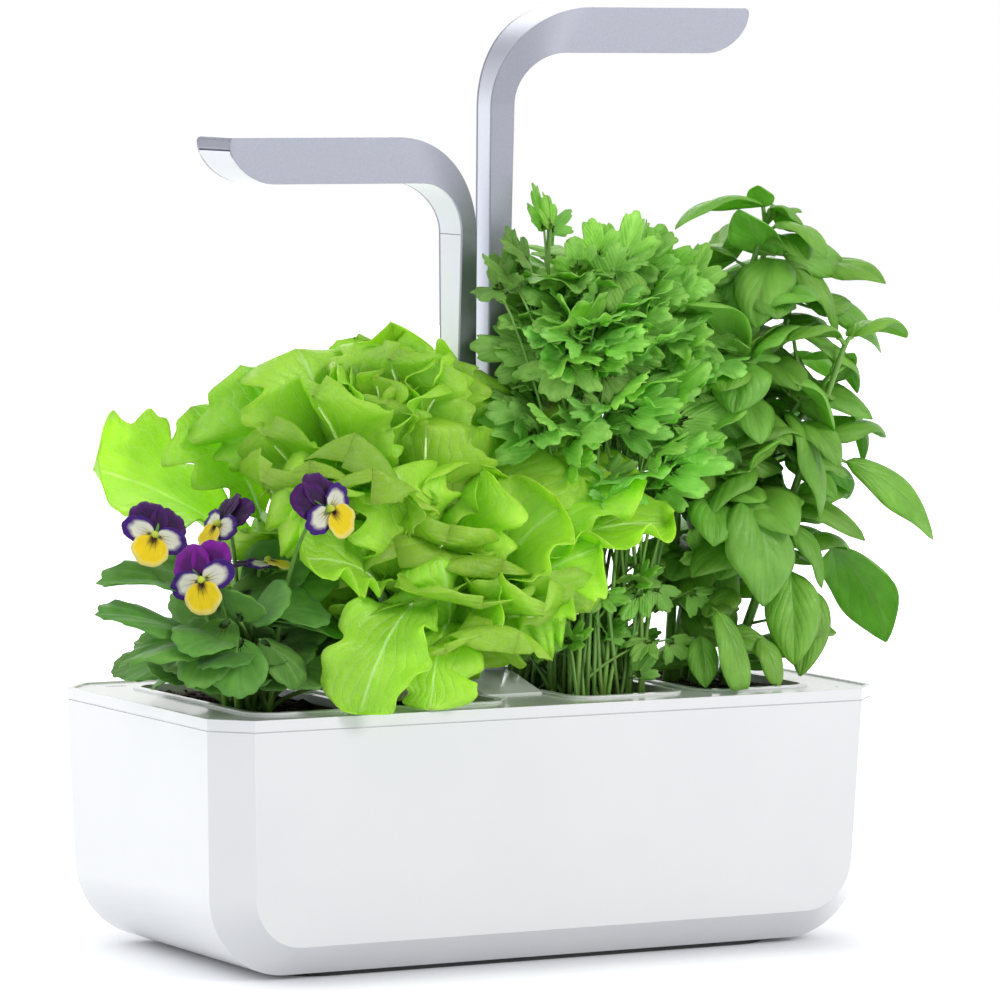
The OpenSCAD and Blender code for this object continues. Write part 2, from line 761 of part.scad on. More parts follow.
module leds(side) {
    zt = top_of(side);
    step = (board_l - 14) / (led_n - 1);
    color([1, 0.85, 0.4]) hand(side)
        for (i = [0:led_n - 1], f = [-1, 1])
            translate([sink_x0 + 1 + i * step - led_s / 2, f * board_w / 4 - led_s / 2,
                       zt - board_z - board_t - led_h])
                cube([led_s, led_s, led_h]);
}

// Ring of the ribbon cable, which runs along the spine
function ribbon_ring(s, zt) = let (
    u0 = spine_low + 0.05,
    a = arm_point(s, u0, 1, 0, zt),
    b = arm_point(s, u0 + ribbon_t, 1, 0, zt),
    h = ribbon_w / 2
) [[a[0], -h, a[2]], [b[0], -h, b[2]], [b[0], h, b[2]], [a[0], h, a[2]]];

module ribbon(side) {
    zt = top_of(side);
    color([0.85, 0.86, 0.88]) hand(side)
        loft([for (i = [0:bend_n + 3]) ribbon_ring(all_stations[i], zt)]);
}

module end_block(side) {
    zt = top_of(side);
    color([0.3, 0.3, 0.32]) hand(side)
        translate([arm_x, -arm_w / 2, zt - arm_l]) cube([arm_t, arm_w, end_t - seam_gap]);
}

// ---------- pods ----------

module pod_cup(i) {
    color(white) translate([pod_xs[i], 0, 0]) difference() {
        union() {
            round_block(pod_w, pod_l, pod_r, deck_z, deck_z + pod_lip_t);
            round_block(cup_w, cup_l, cup_r, cup_z, deck_z + slim);
        }
        round_block(cup_w - 2 * cup_t, cup_l - 2 * cup_t, cup_r - cup_t,
            cup_z + cup_t, deck_z + pod_lip_t + 1);
        wick_slot(cup_z - 1, cup_z + cup_t + 1);
        for (s = [-1, 1], k = [1:2])
            translate([0, s * k * cup_l / 6, cup_z - 1]) cylinder(d = drain_d, h = cup_t + 2, $fn = 32);
    }
}

module wick_slot(z0, z1) {
    translate([-wick_w / 2 - wick_gap, -wick_t / 2 - wick_gap, z0])
        cube([wick_w + 2 * wick_gap, wick_t + 2 * wick_gap, z1 - z0]);
}

module pod_substrate(i) {
    color(soil_brown) translate([pod_xs[i], 0, 0]) difference() {
        round_block(soil_w, soil_l, soil_r, soil_foot, soil_z);
        wick_slot(soil_foot - 1, soil_foot + wick_in + wick_gap);
    }
}

module pod_wick(i) {
    color([0.92, 0.9, 0.85]) translate([pod_xs[i] - wick_w / 2, -wick_t / 2, wick_z])
        cube([wick_w, wick_t, soil_foot + wick_in - wick_z]);
}

// ---------- plants ----------

turn = 137.5;                       // angle between one leaf and the next
function chance(i, k) = let (v = sin(i * 12.9898 + k * 78.233) * 43758.5453) v - floor(v);

// Point on a leaf's middle line that starts at slope e0 and bends down by b degrees
function rib_point(s, len, e0, b) = let (k = len / (b * PI / 180))
    [k * (sin(e0) - sin(e0 - b * s)), 0, k * (cos(e0 - b * s) - cos(e0))];

// Ring across a leaf at s: nv panels wide, thin at its edges, folded and waved
function leaf_ring(s, len, wid, e0, b, fold, wave, nv, thick) = let (
    c = rib_point(s, len, e0, b),
    e = e0 - b * s,
    up = [-sin(e), 0, cos(e)],
    w = wid / 2 * pow(sin(180 * pow(s, 0.85)), 0.7)
) concat(
    [for (j = [0:nv]) let (v = 2 * j / nv - 1) leaf_point(c, up, v, w, fold, wave, s, thick)],
    [for (j = [nv - 1:-1:1]) let (v = 2 * j / nv - 1) leaf_point(c, up, v, w, fold, wave, s, -thick)]
);
function leaf_point(c, up, v, w, fold, wave, s, thick) =
    c + [0, v * w, 0] + up * (fold * abs(v) * w
        + wave * w * v * v * sin(s * 760 + (v > 0 ? 90 : 0)) + thick * (1 - v * v));

// One leaf that grows from the origin along +X and ends in a point
module leaf(len, wid, e0, b, fold = 0.15, wave = 0, ns = 5, nv = 2, thick = 1.2) {
    rings = [for (i = [1:ns - 1]) leaf_ring(i / ns, len, wid, e0, b, fold, wave, nv, thick)];
    n = 2 * nv;
    m = ns - 1;
    tip = rib_point(1, len, e0, b);
    polyhedron(
        points = concat([[0, 0, 0]], [for (ring = rings) for (p = ring) p], [tip]),
        faces = concat(
            [for (i = [0:n - 1]) [0, 1 + (i + 1) % n, 1 + i]],
            [for (k = [0:m - 2], i = [0:n - 1]) let (a = 1 + k * n + i, c = 1 + k * n + (i + 1) % n)
                [a, c, a + n]],
            [for (k = [0:m - 2], i = [0:n - 1]) let (a = 1 + k * n + i, c = 1 + k * n + (i + 1) % n)
                [c, c + n, a + n]],
            [for (i = [0:n - 1]) [1 + (m - 1) * n + i, 1 + (m - 1) * n + (i + 1) % n, 1 + m * n]]
        )
    );
}

// Tapered stem from a to b
module stem(a, b, r) {
    hull() {
        translate(a) sphere(r = r, $fn = 6);
        translate(b) sphere(r = r * 0.7, $fn = 6);
    }
}

// Space that stays free for the collar, the two columns and the lamps on their way
module mast_space() {
    translate([-collar_w / 2 - plant_gap, -collar_foot / 2 - plant_gap, 0])
        cube([collar_w + 2 * plant_gap, collar_foot + 2 * plant_gap, collar_z + 0.5]);
    translate([-head_in_x - plant_gap, -arm_inner_w / 2 - plant_gap, 0])
        cube([2 * (head_in_x + plant_gap), arm_inner_w + 2 * plant_gap, lamp_top]);
}

// Space above the tray, and the mouth of pod i down to its substrate
module growing_space(i) {
    translate([-260, -160, deck_z + pod_lip_t + 0.4]) cube([520, 320, 300]);
    translate([pod_xs[i], 0, 0])
        round_block(soil_w - 1, soil_l - 1, soil_r - 0.5, soil_z + 0.05, deck_z + 5);
}

// The lettuce leans to the front right past the columns: this is where it ends
front_slope = 0.55;
front_y = -22;

module lettuce_side(gap) {
    linear_extrude(500) polygon([
        [-300, 200], [-gap, 200], [-gap, front_y - gap], [260, front_y - gap - 260 * front_slope],
        [260, -300], [-300, -300]
    ]);
}

// The violas stay below a sloping surface that the lettuce hangs over
viola_slope = 1.2;
viola_roof = 205;
viola_x = -(pod_x1 + pod_x2) / 2;

module viola_side(gap) {
    rotate([90, 0, 90]) translate([0, 0, -300]) linear_extrude(300 + viola_x - gap)
        polygon([
            [-200, 0], [200, 0], [200, 1], [(viola_roof - 100 - gap) / viola_slope, 100],
            [-150, viola_roof + 150 * viola_slope - gap], [-200, viola_roof + 150 * viola_slope - gap]
        ]);
}

viola_c = [pod_xs[0] - 14, -14, soil_z];
flowers = [[-170, -38, 184], [-160, -58, 169], [-135, -28, 186], [-97, -48, 194], [-118, -32, 175]];

// Direction that flower i faces
function flower_az(i) = -60 - 50 * chance(i, 5);
flower_tilt = 70;
flower_eye = 2;                     // radius of the middle of a flower
function flower_back(i) = let (r = flower_eye + 0.9, az = flower_az(i)) flowers[i]
    - r * [sin(flower_tilt) * cos(az), sin(flower_tilt) * sin(az), cos(flower_tilt)];

module viola_plant() {
    color([0.22, 0.42, 0.18]) intersection() {
        growing_space(0);
        viola_side(plant_gap / 2);
        union() {
            difference() {
                for (i = [0:viola_n - 1]) {
                    az = i * turn;
                    q = sqrt((i + 0.5) / viola_n);
                    top = viola_c + [q * 46 * cos(az), q * 38 * sin(az) - 8 * q,
                        18 + 42 * (1 - q * q) + 8 * chance(i, 1)];
                    stem(viola_c + [14 + 6 * cos(az), 12 + 6 * sin(az), 1], top, 1.5);
                    translate(top) rotate([0, 0, az + 30 * (chance(i, 2) - 0.5)])
                        leaf(27 + 6 * chance(i, 3), 25, 25 - 20 * q, 50, 0.25, 0.1);
                }
                for (i = [0:len(flowers) - 1]) translate(flowers[i])
                    rotate([0, flower_tilt, flower_az(i)])
                        cylinder(r = flower_d * 0.6, h = 5.6, center = true, $fn = 12);
            }
            for (i = [0:len(flowers) - 1]) let (f = flower_back(i), mid = (viola_c + f) / 2 + [0, 6, 0]) {
                stem(viola_c + [10, 10, 1], mid, 1.4);
                stem(mid, f, 1.2);
            }
        }
    }
}

module viola_flowers() {
    color([0.3, 0.1, 0.4]) intersection() {
        viola_side(plant_gap / 2);
        for (i = [0:len(flowers) - 1]) translate(flowers[i]) rotate([0, flower_tilt, flower_az(i)]) {
            for (a = [0, 72, 144, 216, 288]) rotate([0, 0, a])
                leaf(flower_d / 2, flower_d * 0.56, 6, 12, 0.05, 0, 3);
            sphere(r = flower_eye, $fn = 8);
        }
    }
}

// Heart of the lettuce, as rings of [x, y, height, half width, half depth]
lettuce_c = [pod_xs[1] - 2, -2, soil_z];
lettuce_rise = lettuce_top - soil_z;
heart = [
    [0, 0, 0.02, 12, 20], [0, 0, 0.1, 18, 32], [0, 0, 0.3, 21, 42], [-1, 0, 0.52, 23, 46],
    [-1, -2, 0.7, 22, 42], [-2, -8, 0.85, 16, 30], [-2, -12, 0.96, 7, 12]
];
heart_n = 18;                       // points round the heart, every third one on a ridge
ridge = [0.24, -0.02, -0.16];

function heart_ring(i) = let (h = heart[i], rise = sin(180 * i / (len(heart) - 1)))
    [for (k = [0:heart_n - 1]) let (a = 360 * k / heart_n + 11 * i, grow = 1 + rise * ridge[k % 3])
        lettuce_c + [
            h[0] + h[3] * grow * cos(a), h[1] + h[4] * grow * sin(a), lettuce_rise * h[2]
        ]];

// Outer leaves of the lettuce, as [base x, y and z, azimuth, length, width, slope, bend]
lettuce_leaves = [
    [8, -24, 0.22, -26, 112, 44, 44, 62],
    [6, -20, 0.5, -42, 100, 50, 38, 66],
    [-8, -24, 0.16, -86, 86, 46, 52, 118],
    [-10, -20, 0.2, -97, 84, 32, 50, 116],
    [-14, 20, 0.64, 168, 106, 44, 26, 40],
    [-16, 6, 0.5, 150, 84, 40, 62, 66],
    [-6, -10, 0.6, -100, 62, 44, 78, 34],
    [-4, 26, 0.34, 96, 74, 44, 62, 70]
];

// Ring across a lettuce leaf at s, with a blunt edge and waves that fade at both ends
function blade_ring(s, len, wid, e0, b) = let (
    c = rib_point(s, len, e0, b),
    up = [-sin(e0 - b * s), 0, cos(e0 - b * s)],
    w = wid / 2 * pow(sin(165 * s + 12), 0.6),
    lift = [for (v = blade_v) v * v * sin(180 * s) * (0.25 * w + 3 * sin(430 * s + 70 * v))]
) concat(
    [for (j = [4:-1:0]) c + [0, blade_v[j] * w, 0] + up * (lift[j] + blade_bulge * (1 - pow(blade_v[j], 2)))],
    [for (j = [0:4]) c + [0, blade_v[j] * w, 0]
        + up * (lift[j] - blade_t - blade_bulge * (1 - pow(blade_v[j], 2)))]
);
blade_v = [-1, -0.5, 0, 0.5, 1];
blade_bulge = 0.4;
blade_t = 1.4;
blade_n = 6;

module blade(len, wid, e0, b) {
    loft([for (i = [0:blade_n]) blade_ring(i / blade_n, len, wid, e0, b)]);
}

module lettuce_plant() {
    color([0.5, 0.72, 0.16]) {
        loft([for (i = [0:len(heart) - 1]) heart_ring(i)]);
        for (q = lettuce_leaves)
            translate(lettuce_c + [q[0], q[1], lettuce_rise * q[2]]) rotate([0, 0, q[3]])
                blade(q[4], q[5], q[6], q[7]);
    }
}

parsley_c = [pod_xs[2] - 2, -6, soil_z];

module parsley_side(gap) {
    difference() {
        translate([0, -300, 0]) cube([(pod_x1 + pod_x2) / 2 - gap, 500, 500]);
        lettuce_side(-gap);
        mast_space();
        lamp_space();
    }
}

// Space that the right lamp passes on its way down
module lamp_space() {
    translate([0, -head_w / 2 - plant_gap, lamp_top - travel - head_t - bend_in_r])
        cube([reach + plant_gap, head_w + 2 * plant_gap, 300]);
}

function parsley_tip(i) = let (az = i * turn, q = sqrt((i + 0.5) / parsley_n)) parsley_c + [
    8 + q * 44 * cos(az), q * 46 * sin(az) - 4,
    (parsley_top - soil_z - 24) * (1 - 0.55 * q * q * (0.6 + 0.6 * chance(i, 1)))
];

// The two parts of parsley stem i, as [start, end, radius]
function parsley_stalk(i) = let (t = parsley_tip(i), b = parsley_c + (t - parsley_c) * 0.12,
    mid = [b[0] + (t[0] - b[0]) * 0.4, b[1] + (t[1] - b[1]) * 0.4, (b[2] + t[2]) / 2])
    [[[b[0], b[1], soil_z], mid, 1.6], [mid, t, 1.3]];

module parsley_stems() {
    color([0.32, 0.52, 0.16]) intersection() {
        growing_space(2);
        parsley_side(plant_gap / 2);
        for (i = [0:parsley_n - 1], q = parsley_stalk(i)) stem(q[0], q[1], q[2]);
    }
}

// Six-sided rod round a stem, which clears it on all sides
module stem_room(a, b, r) {
    d = b - a;
    translate(a) rotate([0, acos(d[2] / norm(d)), atan2(d[1], d[0])]) translate([0, 0, -r])
        cylinder(r = r + 0.25, h = norm(d) + 1.7 * r, $fn = 6);
}

module parsley_leaves() {
    color([0.18, 0.4, 0.1]) intersection() {
        growing_space(2);
        difference() {
            parsley_side(plant_gap / 2);
            for (i = [0:parsley_n - 1], q = parsley_stalk(i)) stem_room(q[0], q[1], q[2]);
        }
        for (i = [0:parsley_n - 1]) let (t = parsley_tip(i)) translate(t) union() {
            translate([0, 0, 1.5]) cube([3, 3, 3], center = true);
            rotate([0, 0, i * turn]) for (a = [0, 120, 240]) rotate([0, 0, a])
                leaf(30 + 9 * chance(i, 4), 26, 34, 46, 0.1, 0.1, 4);
        }
    }
}

basil_c = [pod_xs[3] - 1, -6, soil_z];

// Top of basil stem i; the first stem is the tallest
function basil_tip(i) = let (az = 250 + i * turn, q = sqrt(i / basil_n)) basil_c + [
    26 + q * 56 * cos(az), q * 44 * sin(az) - 14,
    (basil_top - soil_z) * (0.93 - 0.34 * q * q)
];

module basil_side(gap) {
    difference() {
        translate([(pod_x1 + pod_x2) / 2 + gap, -300, 0]) cube([300, 600, 500]);
        lettuce_side(-gap);
        lamp_space();
    }
}

module basil_stems() {
    color([0.35, 0.55, 0.2]) intersection() {
        growing_space(3);
        basil_side(plant_gap / 2);
        union() {
            for (i = [0:basil_n - 1]) stem(basil_root(i), basil_tip(i), 2.4);
            for (i = [0:basil_n - 1]) translate(basil_root(i)) cylinder(r = 3, h = 4, $fn = 12);
            for (i = [0:basil_n - 1]) stem(basil_root(i), basil_root(i) + [0, 0, 6], 3.2);
        }
    }
}

function basil_root(i) = let (az = 250 + i * turn, q = sqrt(i / basil_n))
    basil_c + [q * 16 * cos(az), q * 26 * sin(az), 0];

module basil_leaves() {
    color([0.24, 0.52, 0.12]) difference() {
        intersection() {
            growing_space(3);
            basil_side(plant_gap / 2);
            for (i = [0:basil_n - 1], k = [1:5]) basil_pair(i, k);
        }
        for (i = [0:basil_n - 1]) stem(basil_root(i), basil_tip(i), 2.45);
    }
}

module basil_pair(i, k) {
    a = basil_root(i);
    b = basil_tip(i);
    t = 0.24 + 0.152 * k;
    at = a + (b - a) * t;
    size = 66 - 5 * k + 10 * chance(i, k);
    for (s = [0, 180]) translate(at) rotate([0, 0, 35 * i + 90 * k + s])
        leaf(size, size * 0.66, 38, 78, 0.14, 0.05, 4);
}

// ---------- one line per sub-part ----------

tank();
foot_mat();
tray();
mast_sleeve();
mast_collar();
brake_pads();
mast_screws();
control_housing();
control_board();
button_switch();
power_socket();
light_pipe();
indicator_led();
level_window();
float_guide();
level_float();
power_button();
band(-1);  // left_band
side_plate(-1, -1);  // left_front_plate
side_plate(-1, 1);  // left_rear_plate
diffuser(-1);  // left_diffuser
column_cover(-1);  // left_column_cover
spine(-1);  // left_spine
heat_sink(-1);  // left_heat_sink
led_board(-1);  // left_led_board
leds(-1);  // left_leds
ribbon(-1);  // left_ribbon
end_block(-1);  // left_end_block
band(1);  // right_band
side_plate(1, -1);  // right_front_plate
side_plate(1, 1);  // right_rear_plate
diffuser(1);  // right_diffuser
column_cover(1);  // right_column_cover
spine(1);  // right_spine
heat_sink(1);  // right_heat_sink
led_board(1);  // right_led_board
leds(1);  // right_leds
ribbon(1);  // right_ribbon
end_block(1);  // right_end_block
pod_cup(0);  // pod1_cup
pod_substrate(0);  // pod1_substrate
pod_wick(0);  // pod1_wick
viola_plant();
viola_flowers();
pod_cup(1);  // pod2_cup
pod_substrate(1);  // pod2_substrate
pod_wick(1);  // pod2_wick
lettuce_plant();
pod_cup(2);  // pod3_cup
pod_substrate(2);  // pod3_substrate
pod_wick(2);  // pod3_wick
parsley_stems();
parsley_leaves();
pod_cup(3);  // pod4_cup
pod_substrate(3);  // pod4_substrate
pod_wick(3);  // pod4_wick
basil_stems();
basil_leaves();
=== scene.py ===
"""Countertop hydroponic garden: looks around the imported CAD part. Metres, CAD frame."""

import math
import random
from collections import namedtuple

import bmesh
import bpy
import numpy as np
from mathutils import Matrix, Vector


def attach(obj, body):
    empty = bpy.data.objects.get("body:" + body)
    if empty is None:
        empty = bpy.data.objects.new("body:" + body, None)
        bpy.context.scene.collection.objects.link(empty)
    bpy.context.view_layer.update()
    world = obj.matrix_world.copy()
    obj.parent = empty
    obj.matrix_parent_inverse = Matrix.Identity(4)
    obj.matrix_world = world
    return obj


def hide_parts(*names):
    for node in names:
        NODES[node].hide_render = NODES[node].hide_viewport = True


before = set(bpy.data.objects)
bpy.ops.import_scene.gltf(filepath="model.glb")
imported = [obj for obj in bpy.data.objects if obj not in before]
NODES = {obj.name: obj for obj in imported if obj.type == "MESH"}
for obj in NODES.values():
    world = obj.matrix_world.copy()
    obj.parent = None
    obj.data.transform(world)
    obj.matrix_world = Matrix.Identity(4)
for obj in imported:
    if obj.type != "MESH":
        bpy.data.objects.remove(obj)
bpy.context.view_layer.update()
MM = 0.001


# ---------- camera and lights
CAMERA_PLACE = Vector((-1.3167, -2.3743, 0.4045))
CAMERA_YAW, CAMERA_PITCH, CAMERA_ROLL = (math.radians(a) for a in (29.2462, -4.5194, 0.4909))
CAMERA_LENS = 229.63
AIM = (0, 0, 0.2)                  # all lamps look at the middle of the garden
WARM = (1, 0.99, 0.97)


def link(obj):
    bpy.context.scene.collection.objects.link(obj)
    return obj


def make_camera():
    """The photograph's view. Its values come from a camera fitted to the tank's edges."""
    level = math.cos(CAMERA_PITCH)
    forward = Vector((math.sin(CAMERA_YAW) * level, math.cos(CAMERA_YAW) * level, math.sin(CAMERA_PITCH)))
    flat_right = Vector((math.cos(CAMERA_YAW), -math.sin(CAMERA_YAW), 0))
    flat_up = flat_right.cross(forward)
    c, s = math.cos(CAMERA_ROLL), math.sin(CAMERA_ROLL)
    right, up = c * flat_right + s * flat_up, c * flat_up - s * flat_right
    camera = bpy.data.cameras.new("photo_camera")
    camera.lens, camera.sensor_width, camera.clip_start, camera.clip_end = CAMERA_LENS, 36, 0.05, 50
    obj = link(bpy.data.objects.new("photo_camera", camera))
    turn = Matrix((right, up, -forward)).transposed().to_4x4()
    obj.matrix_world = Matrix.Translation(CAMERA_PLACE) @ turn
    bpy.context.scene.camera = obj


def area_light(name, place, size, power, colour):
    light = bpy.data.lights.new(name, "AREA")
    light.shape, light.size, light.energy, light.color = "DISK", size, power, colour
    obj = link(bpy.data.objects.new(name, light))
    obj.location = place
    obj.rotation_euler = (Vector(AIM) - Vector(place)).to_track_quat("-Z", "Y").to_euler()


# ---------- node trees
class Nodes:
    """A node tree, built by short calls."""

    def __init__(self, tree):
        self.tree = tree
        tree.nodes.clear()

    def node(self, kind, **attributes):
        node = self.tree.nodes.new("ShaderNode" + kind)
        for key, value in attributes.items():
            setattr(node, key, value)
        return node

    def feed(self, node, *values, **sockets):
        """Feeds inputs by place or by name, with _ for a space, and returns the node's outputs."""
        for key, value in (*enumerate(values), *sockets.items()):
            self.set(node, key if isinstance(key, int) else key.replace("_", " "), value)
        return node.outputs

    def set(self, node, key, value):
        socket = node.inputs[key]
        if isinstance(value, bpy.types.NodeSocket):
            self.tree.links.new(value, socket)
        elif isinstance(value, tuple) and len(value) == 3 and socket.type == "RGBA":
            socket.default_value = (*value, 1)
        else:
            socket.default_value = value

    def math(self, operation, a, b=0.0, c=0.0, clamp=False):
        return self.feed(self.node("Math", operation=operation, use_clamp=clamp), a, b, c)[0]

    def times(self, a, b, clamp=False):
        return self.math("MULTIPLY", a, b, clamp=clamp)

    def scaled(self, value, factor, offset):
        return self.math("MULTIPLY_ADD", value, factor, offset)

    def seen(self):
        """1 for what the camera, gloss and glass see, and 0 for what only lights the object."""
        path = self.node("LightPath").outputs
        either = self.math("ADD", path["Is Camera Ray"], path["Is Glossy Ray"], clamp=True)
        return self.math("ADD", either, path["Is Transmission Ray"], clamp=True)


class Mat(Nodes):
    """A material round one shader. Its coordinates are the object's own, in metres."""

    def __init__(self, name, **sockets):
        self.material = bpy.data.materials.new(name)
        self.material.use_nodes = True
        super().__init__(self.material.node_tree)
        self.out = self.node("OutputMaterial")
        self.shader = self.node("BsdfPrincipled")
        self.feed(self.out, Surface=self.shader.outputs[0])
        self.place = self.node("TexCoord").outputs["Object"]
        self.look(**sockets)

    def look(self, **sockets):
        """Feeds the shader and returns the material."""
        self.feed(self.shader, **sockets)
        return self.material

    def noise(self, scale, detail=3.0, rough=0.55, stretch=None, distortion=0.0):
        place = self.place
        if stretch:
            place = self.feed(self.node("Mapping"), Vector=place, Scale=stretch)[0]
        return self.feed(self.node("TexNoise"), Vector=place, Scale=scale, Detail=detail, Roughness=rough,
                         Distortion=distortion)["Fac"]

    def cell_edges(self, scale):
        cells = self.node("TexVoronoi", feature="DISTANCE_TO_EDGE")
        return self.feed(cells, Vector=self.place, Scale=scale)["Distance"]

    def ramp(self, factor, *stops):
        """A ramp with a colour or a grey at each stop."""
        node = self.node("ValToRGB")
        while len(node.color_ramp.elements) < len(stops):
            node.color_ramp.elements.new(0.5)
        for element, (place, colour) in zip(node.color_ramp.elements, stops):
            element.position = place
            element.color = (*colour, 1) if isinstance(colour, tuple) else (colour, colour, colour, 1)
        return self.feed(node, factor)[0]

    def mix(self, factor, a, b, blend="MIX"):
        node = self.node("Mix", data_type="RGBA", blend_type=blend)
        for key, value in ((0, factor), (6, a), (7, b)):
            self.set(node, key, value)
        return node.outputs[2]

    def tinted(self, colour):
        """The colour times each vertex's own tint."""
        tint = self.node("Attribute", attribute_name="tint").outputs["Color"]
        return self.mix(1.0, colour, tint, "MULTIPLY")

    def stripes(self, value):
        return self.math("ABSOLUTE", self.math("SINE", value))

    def bump(self, height, strength, distance, below=None):
        node = self.node("Bump")
        if below is not None:
            self.feed(node, Normal=below)
        return self.feed(node, Height=height, Strength=strength, Distance=distance)[0]

    def split(self, vector):
        return self.feed(self.node("SeparateXYZ"), vector)

    def uv(self):
        """Across and along a leaf or petal, from its UV map."""
        return self.split(self.node("UVMap", uv_map="UVMap").outputs[0])

    def see_through(self, colour, share):
        """Lets light of the given colour through a thin leaf or petal."""
        thin = self.feed(self.node("BsdfTranslucent"), Color=colour)[0]
        mix = self.feed(self.node("MixShader"), share, self.shader.outputs[0], thin)[0]
        self.feed(self.out, Surface=mix)


# ---------- room and paper
WORLD_LIGHT = 0.42
SIDE_LIGHT = 1.05                  # the room is brighter on the left, a little behind the garden
BRIGHT_SIDE = (-0.83, 0.5, 0.25)
FOOT_W, FOOT_D = 0.11, 0.055       # the paper glows white from here outwards and keeps the contact shadow


def make_world():
    world = bpy.data.worlds.new("studio")
    bpy.context.scene.world = world
    world.use_nodes = True
    n = Nodes(world.node_tree)
    direction = n.node("TexCoord").outputs["Generated"]
    towards = n.feed(n.node("VectorMath", operation="DOT_PRODUCT"), direction, BRIGHT_SIDE)["Value"]
    strength = n.feed(n.node("MapRange"), Value=towards, To_Min=WORLD_LIGHT,
                      To_Max=WORLD_LIGHT + SIDE_LIGHT)[0]
    light = n.feed(n.node("Background"), Color=(0.97, 0.985, 1), Strength=strength)[0]
    white = n.feed(n.node("Background"), Color=(1, 1, 1))[0]
    mix = n.feed(n.node("MixShader"), n.seen(), light, white)[0]
    n.feed(n.node("OutputWorld"), Surface=mix)


def make_floor():
    bpy.ops.mesh.primitive_plane_add(size=9)
    floor = bpy.context.object
    floor.name = "stage_floor"
    m = Mat("stage_paper", Roughness=0.9, Specular_IOR_Level=0.0)
    m.look(Base_Color=m.ramp(m.noise(3.0), (0.3, (0.76, 0.77, 0.8)), (0.7, (0.78, 0.79, 0.815))))
    place = m.split(m.place)
    dx, dy = (m.math("MAXIMUM", m.math("SUBTRACT", m.math("ABSOLUTE", place[k]), half), 0.0)
              for k, half in enumerate((FOOT_W, FOOT_D)))
    far = m.math("SQRT", m.math("ADD", m.times(dx, dx), m.times(dy, dy)))
    rise = m.ramp(m.times(far, 4.0), (0.04, 0.0), (0.5, 1.0))
    strength = m.times(m.seen(), m.scaled(rise, 0.97, 0.03))
    glow = m.feed(m.node("Emission"), Color=(1, 1, 1), Strength=strength)[0]
    m.feed(m.out, Surface=m.feed(m.node("AddShader"), m.shader.outputs[0], glow)[0])
    floor.data.materials.append(m.material)


make_camera()
make_world()
make_floor()
bpy.context.scene.view_settings.view_transform = "Standard"
area_light("front_light", (1.1, -2.1, 1.5), 1.0, 29, WARM)
area_light("left_light", (-1.9, 0.2, 1.9), 1.4, 3.5, WARM)
area_light("back_light", (0.9, 2.0, 1.6), 1.6, 14, (1, 1, 1))


# ---------- materials
def plastic(name, dark, light, rough=0.2, coat=0.25, grain=0.05, scale=1500.0, glow=0.0):
    """Moulded plastic: faint clouds in colour and gloss, and a very fine skin. glow is painted light, a
    faint bluish emission.
    """
    m = Mat(name, Coat_Weight=coat, Coat_Roughness=0.08)
    # painted light: a faint bluish glow
    if glow:
        m.look(Emission_Color=(0.85, 0.9, 1.0), Emission_Strength=glow)
    return m.look(Base_Color=m.ramp(m.noise(14, 4), (0.3, dark), (0.7, light)),
                  Roughness=m.scaled(m.noise(70, 4), 0.1, rough),
                  Normal=m.bump(m.noise(scale, 2), grain, 0.0003))


def metal(name, dark, light, rough, grain, stretch=None, flake=2600.0, metallic=0.9, top=None):
    """Metallic lacquer or bare metal with flakes or brushing. top is a tone painted on faces that look up,
    as painted shade.
    """
    m = Mat(name, Metallic=metallic)
    fine = m.noise(flake, 3, 0.7, stretch=stretch)
    tone = m.mix(m.times(m.noise(22, 3), 0.25), m.ramp(fine, (0.32, dark), (0.68, light)), light)
    if top:
        # painted shade: faces that look up are mixed towards the top tone
        upward = m.split(m.node("NewGeometry").outputs["Normal"])[2]
        tone = m.mix(m.ramp(upward, (0.1, 0.0), (0.55, 1.0)), tone, top)
    return m.look(Base_Color=tone, Roughness=m.scaled(fine, 0.22, rough),
                  Normal=m.bump(fine, grain, 0.0002))


def clear_plastic(name, tone):
    m = Mat(name, Transmission_Weight=0.85, IOR=1.49)
    return m.look(Base_Color=m.ramp(m.noise(40), (0.3, tone), (0.7, (0.97, 0.98, 0.98))),
                  Roughness=m.scaled(m.noise(120), 0.08, 0.04))


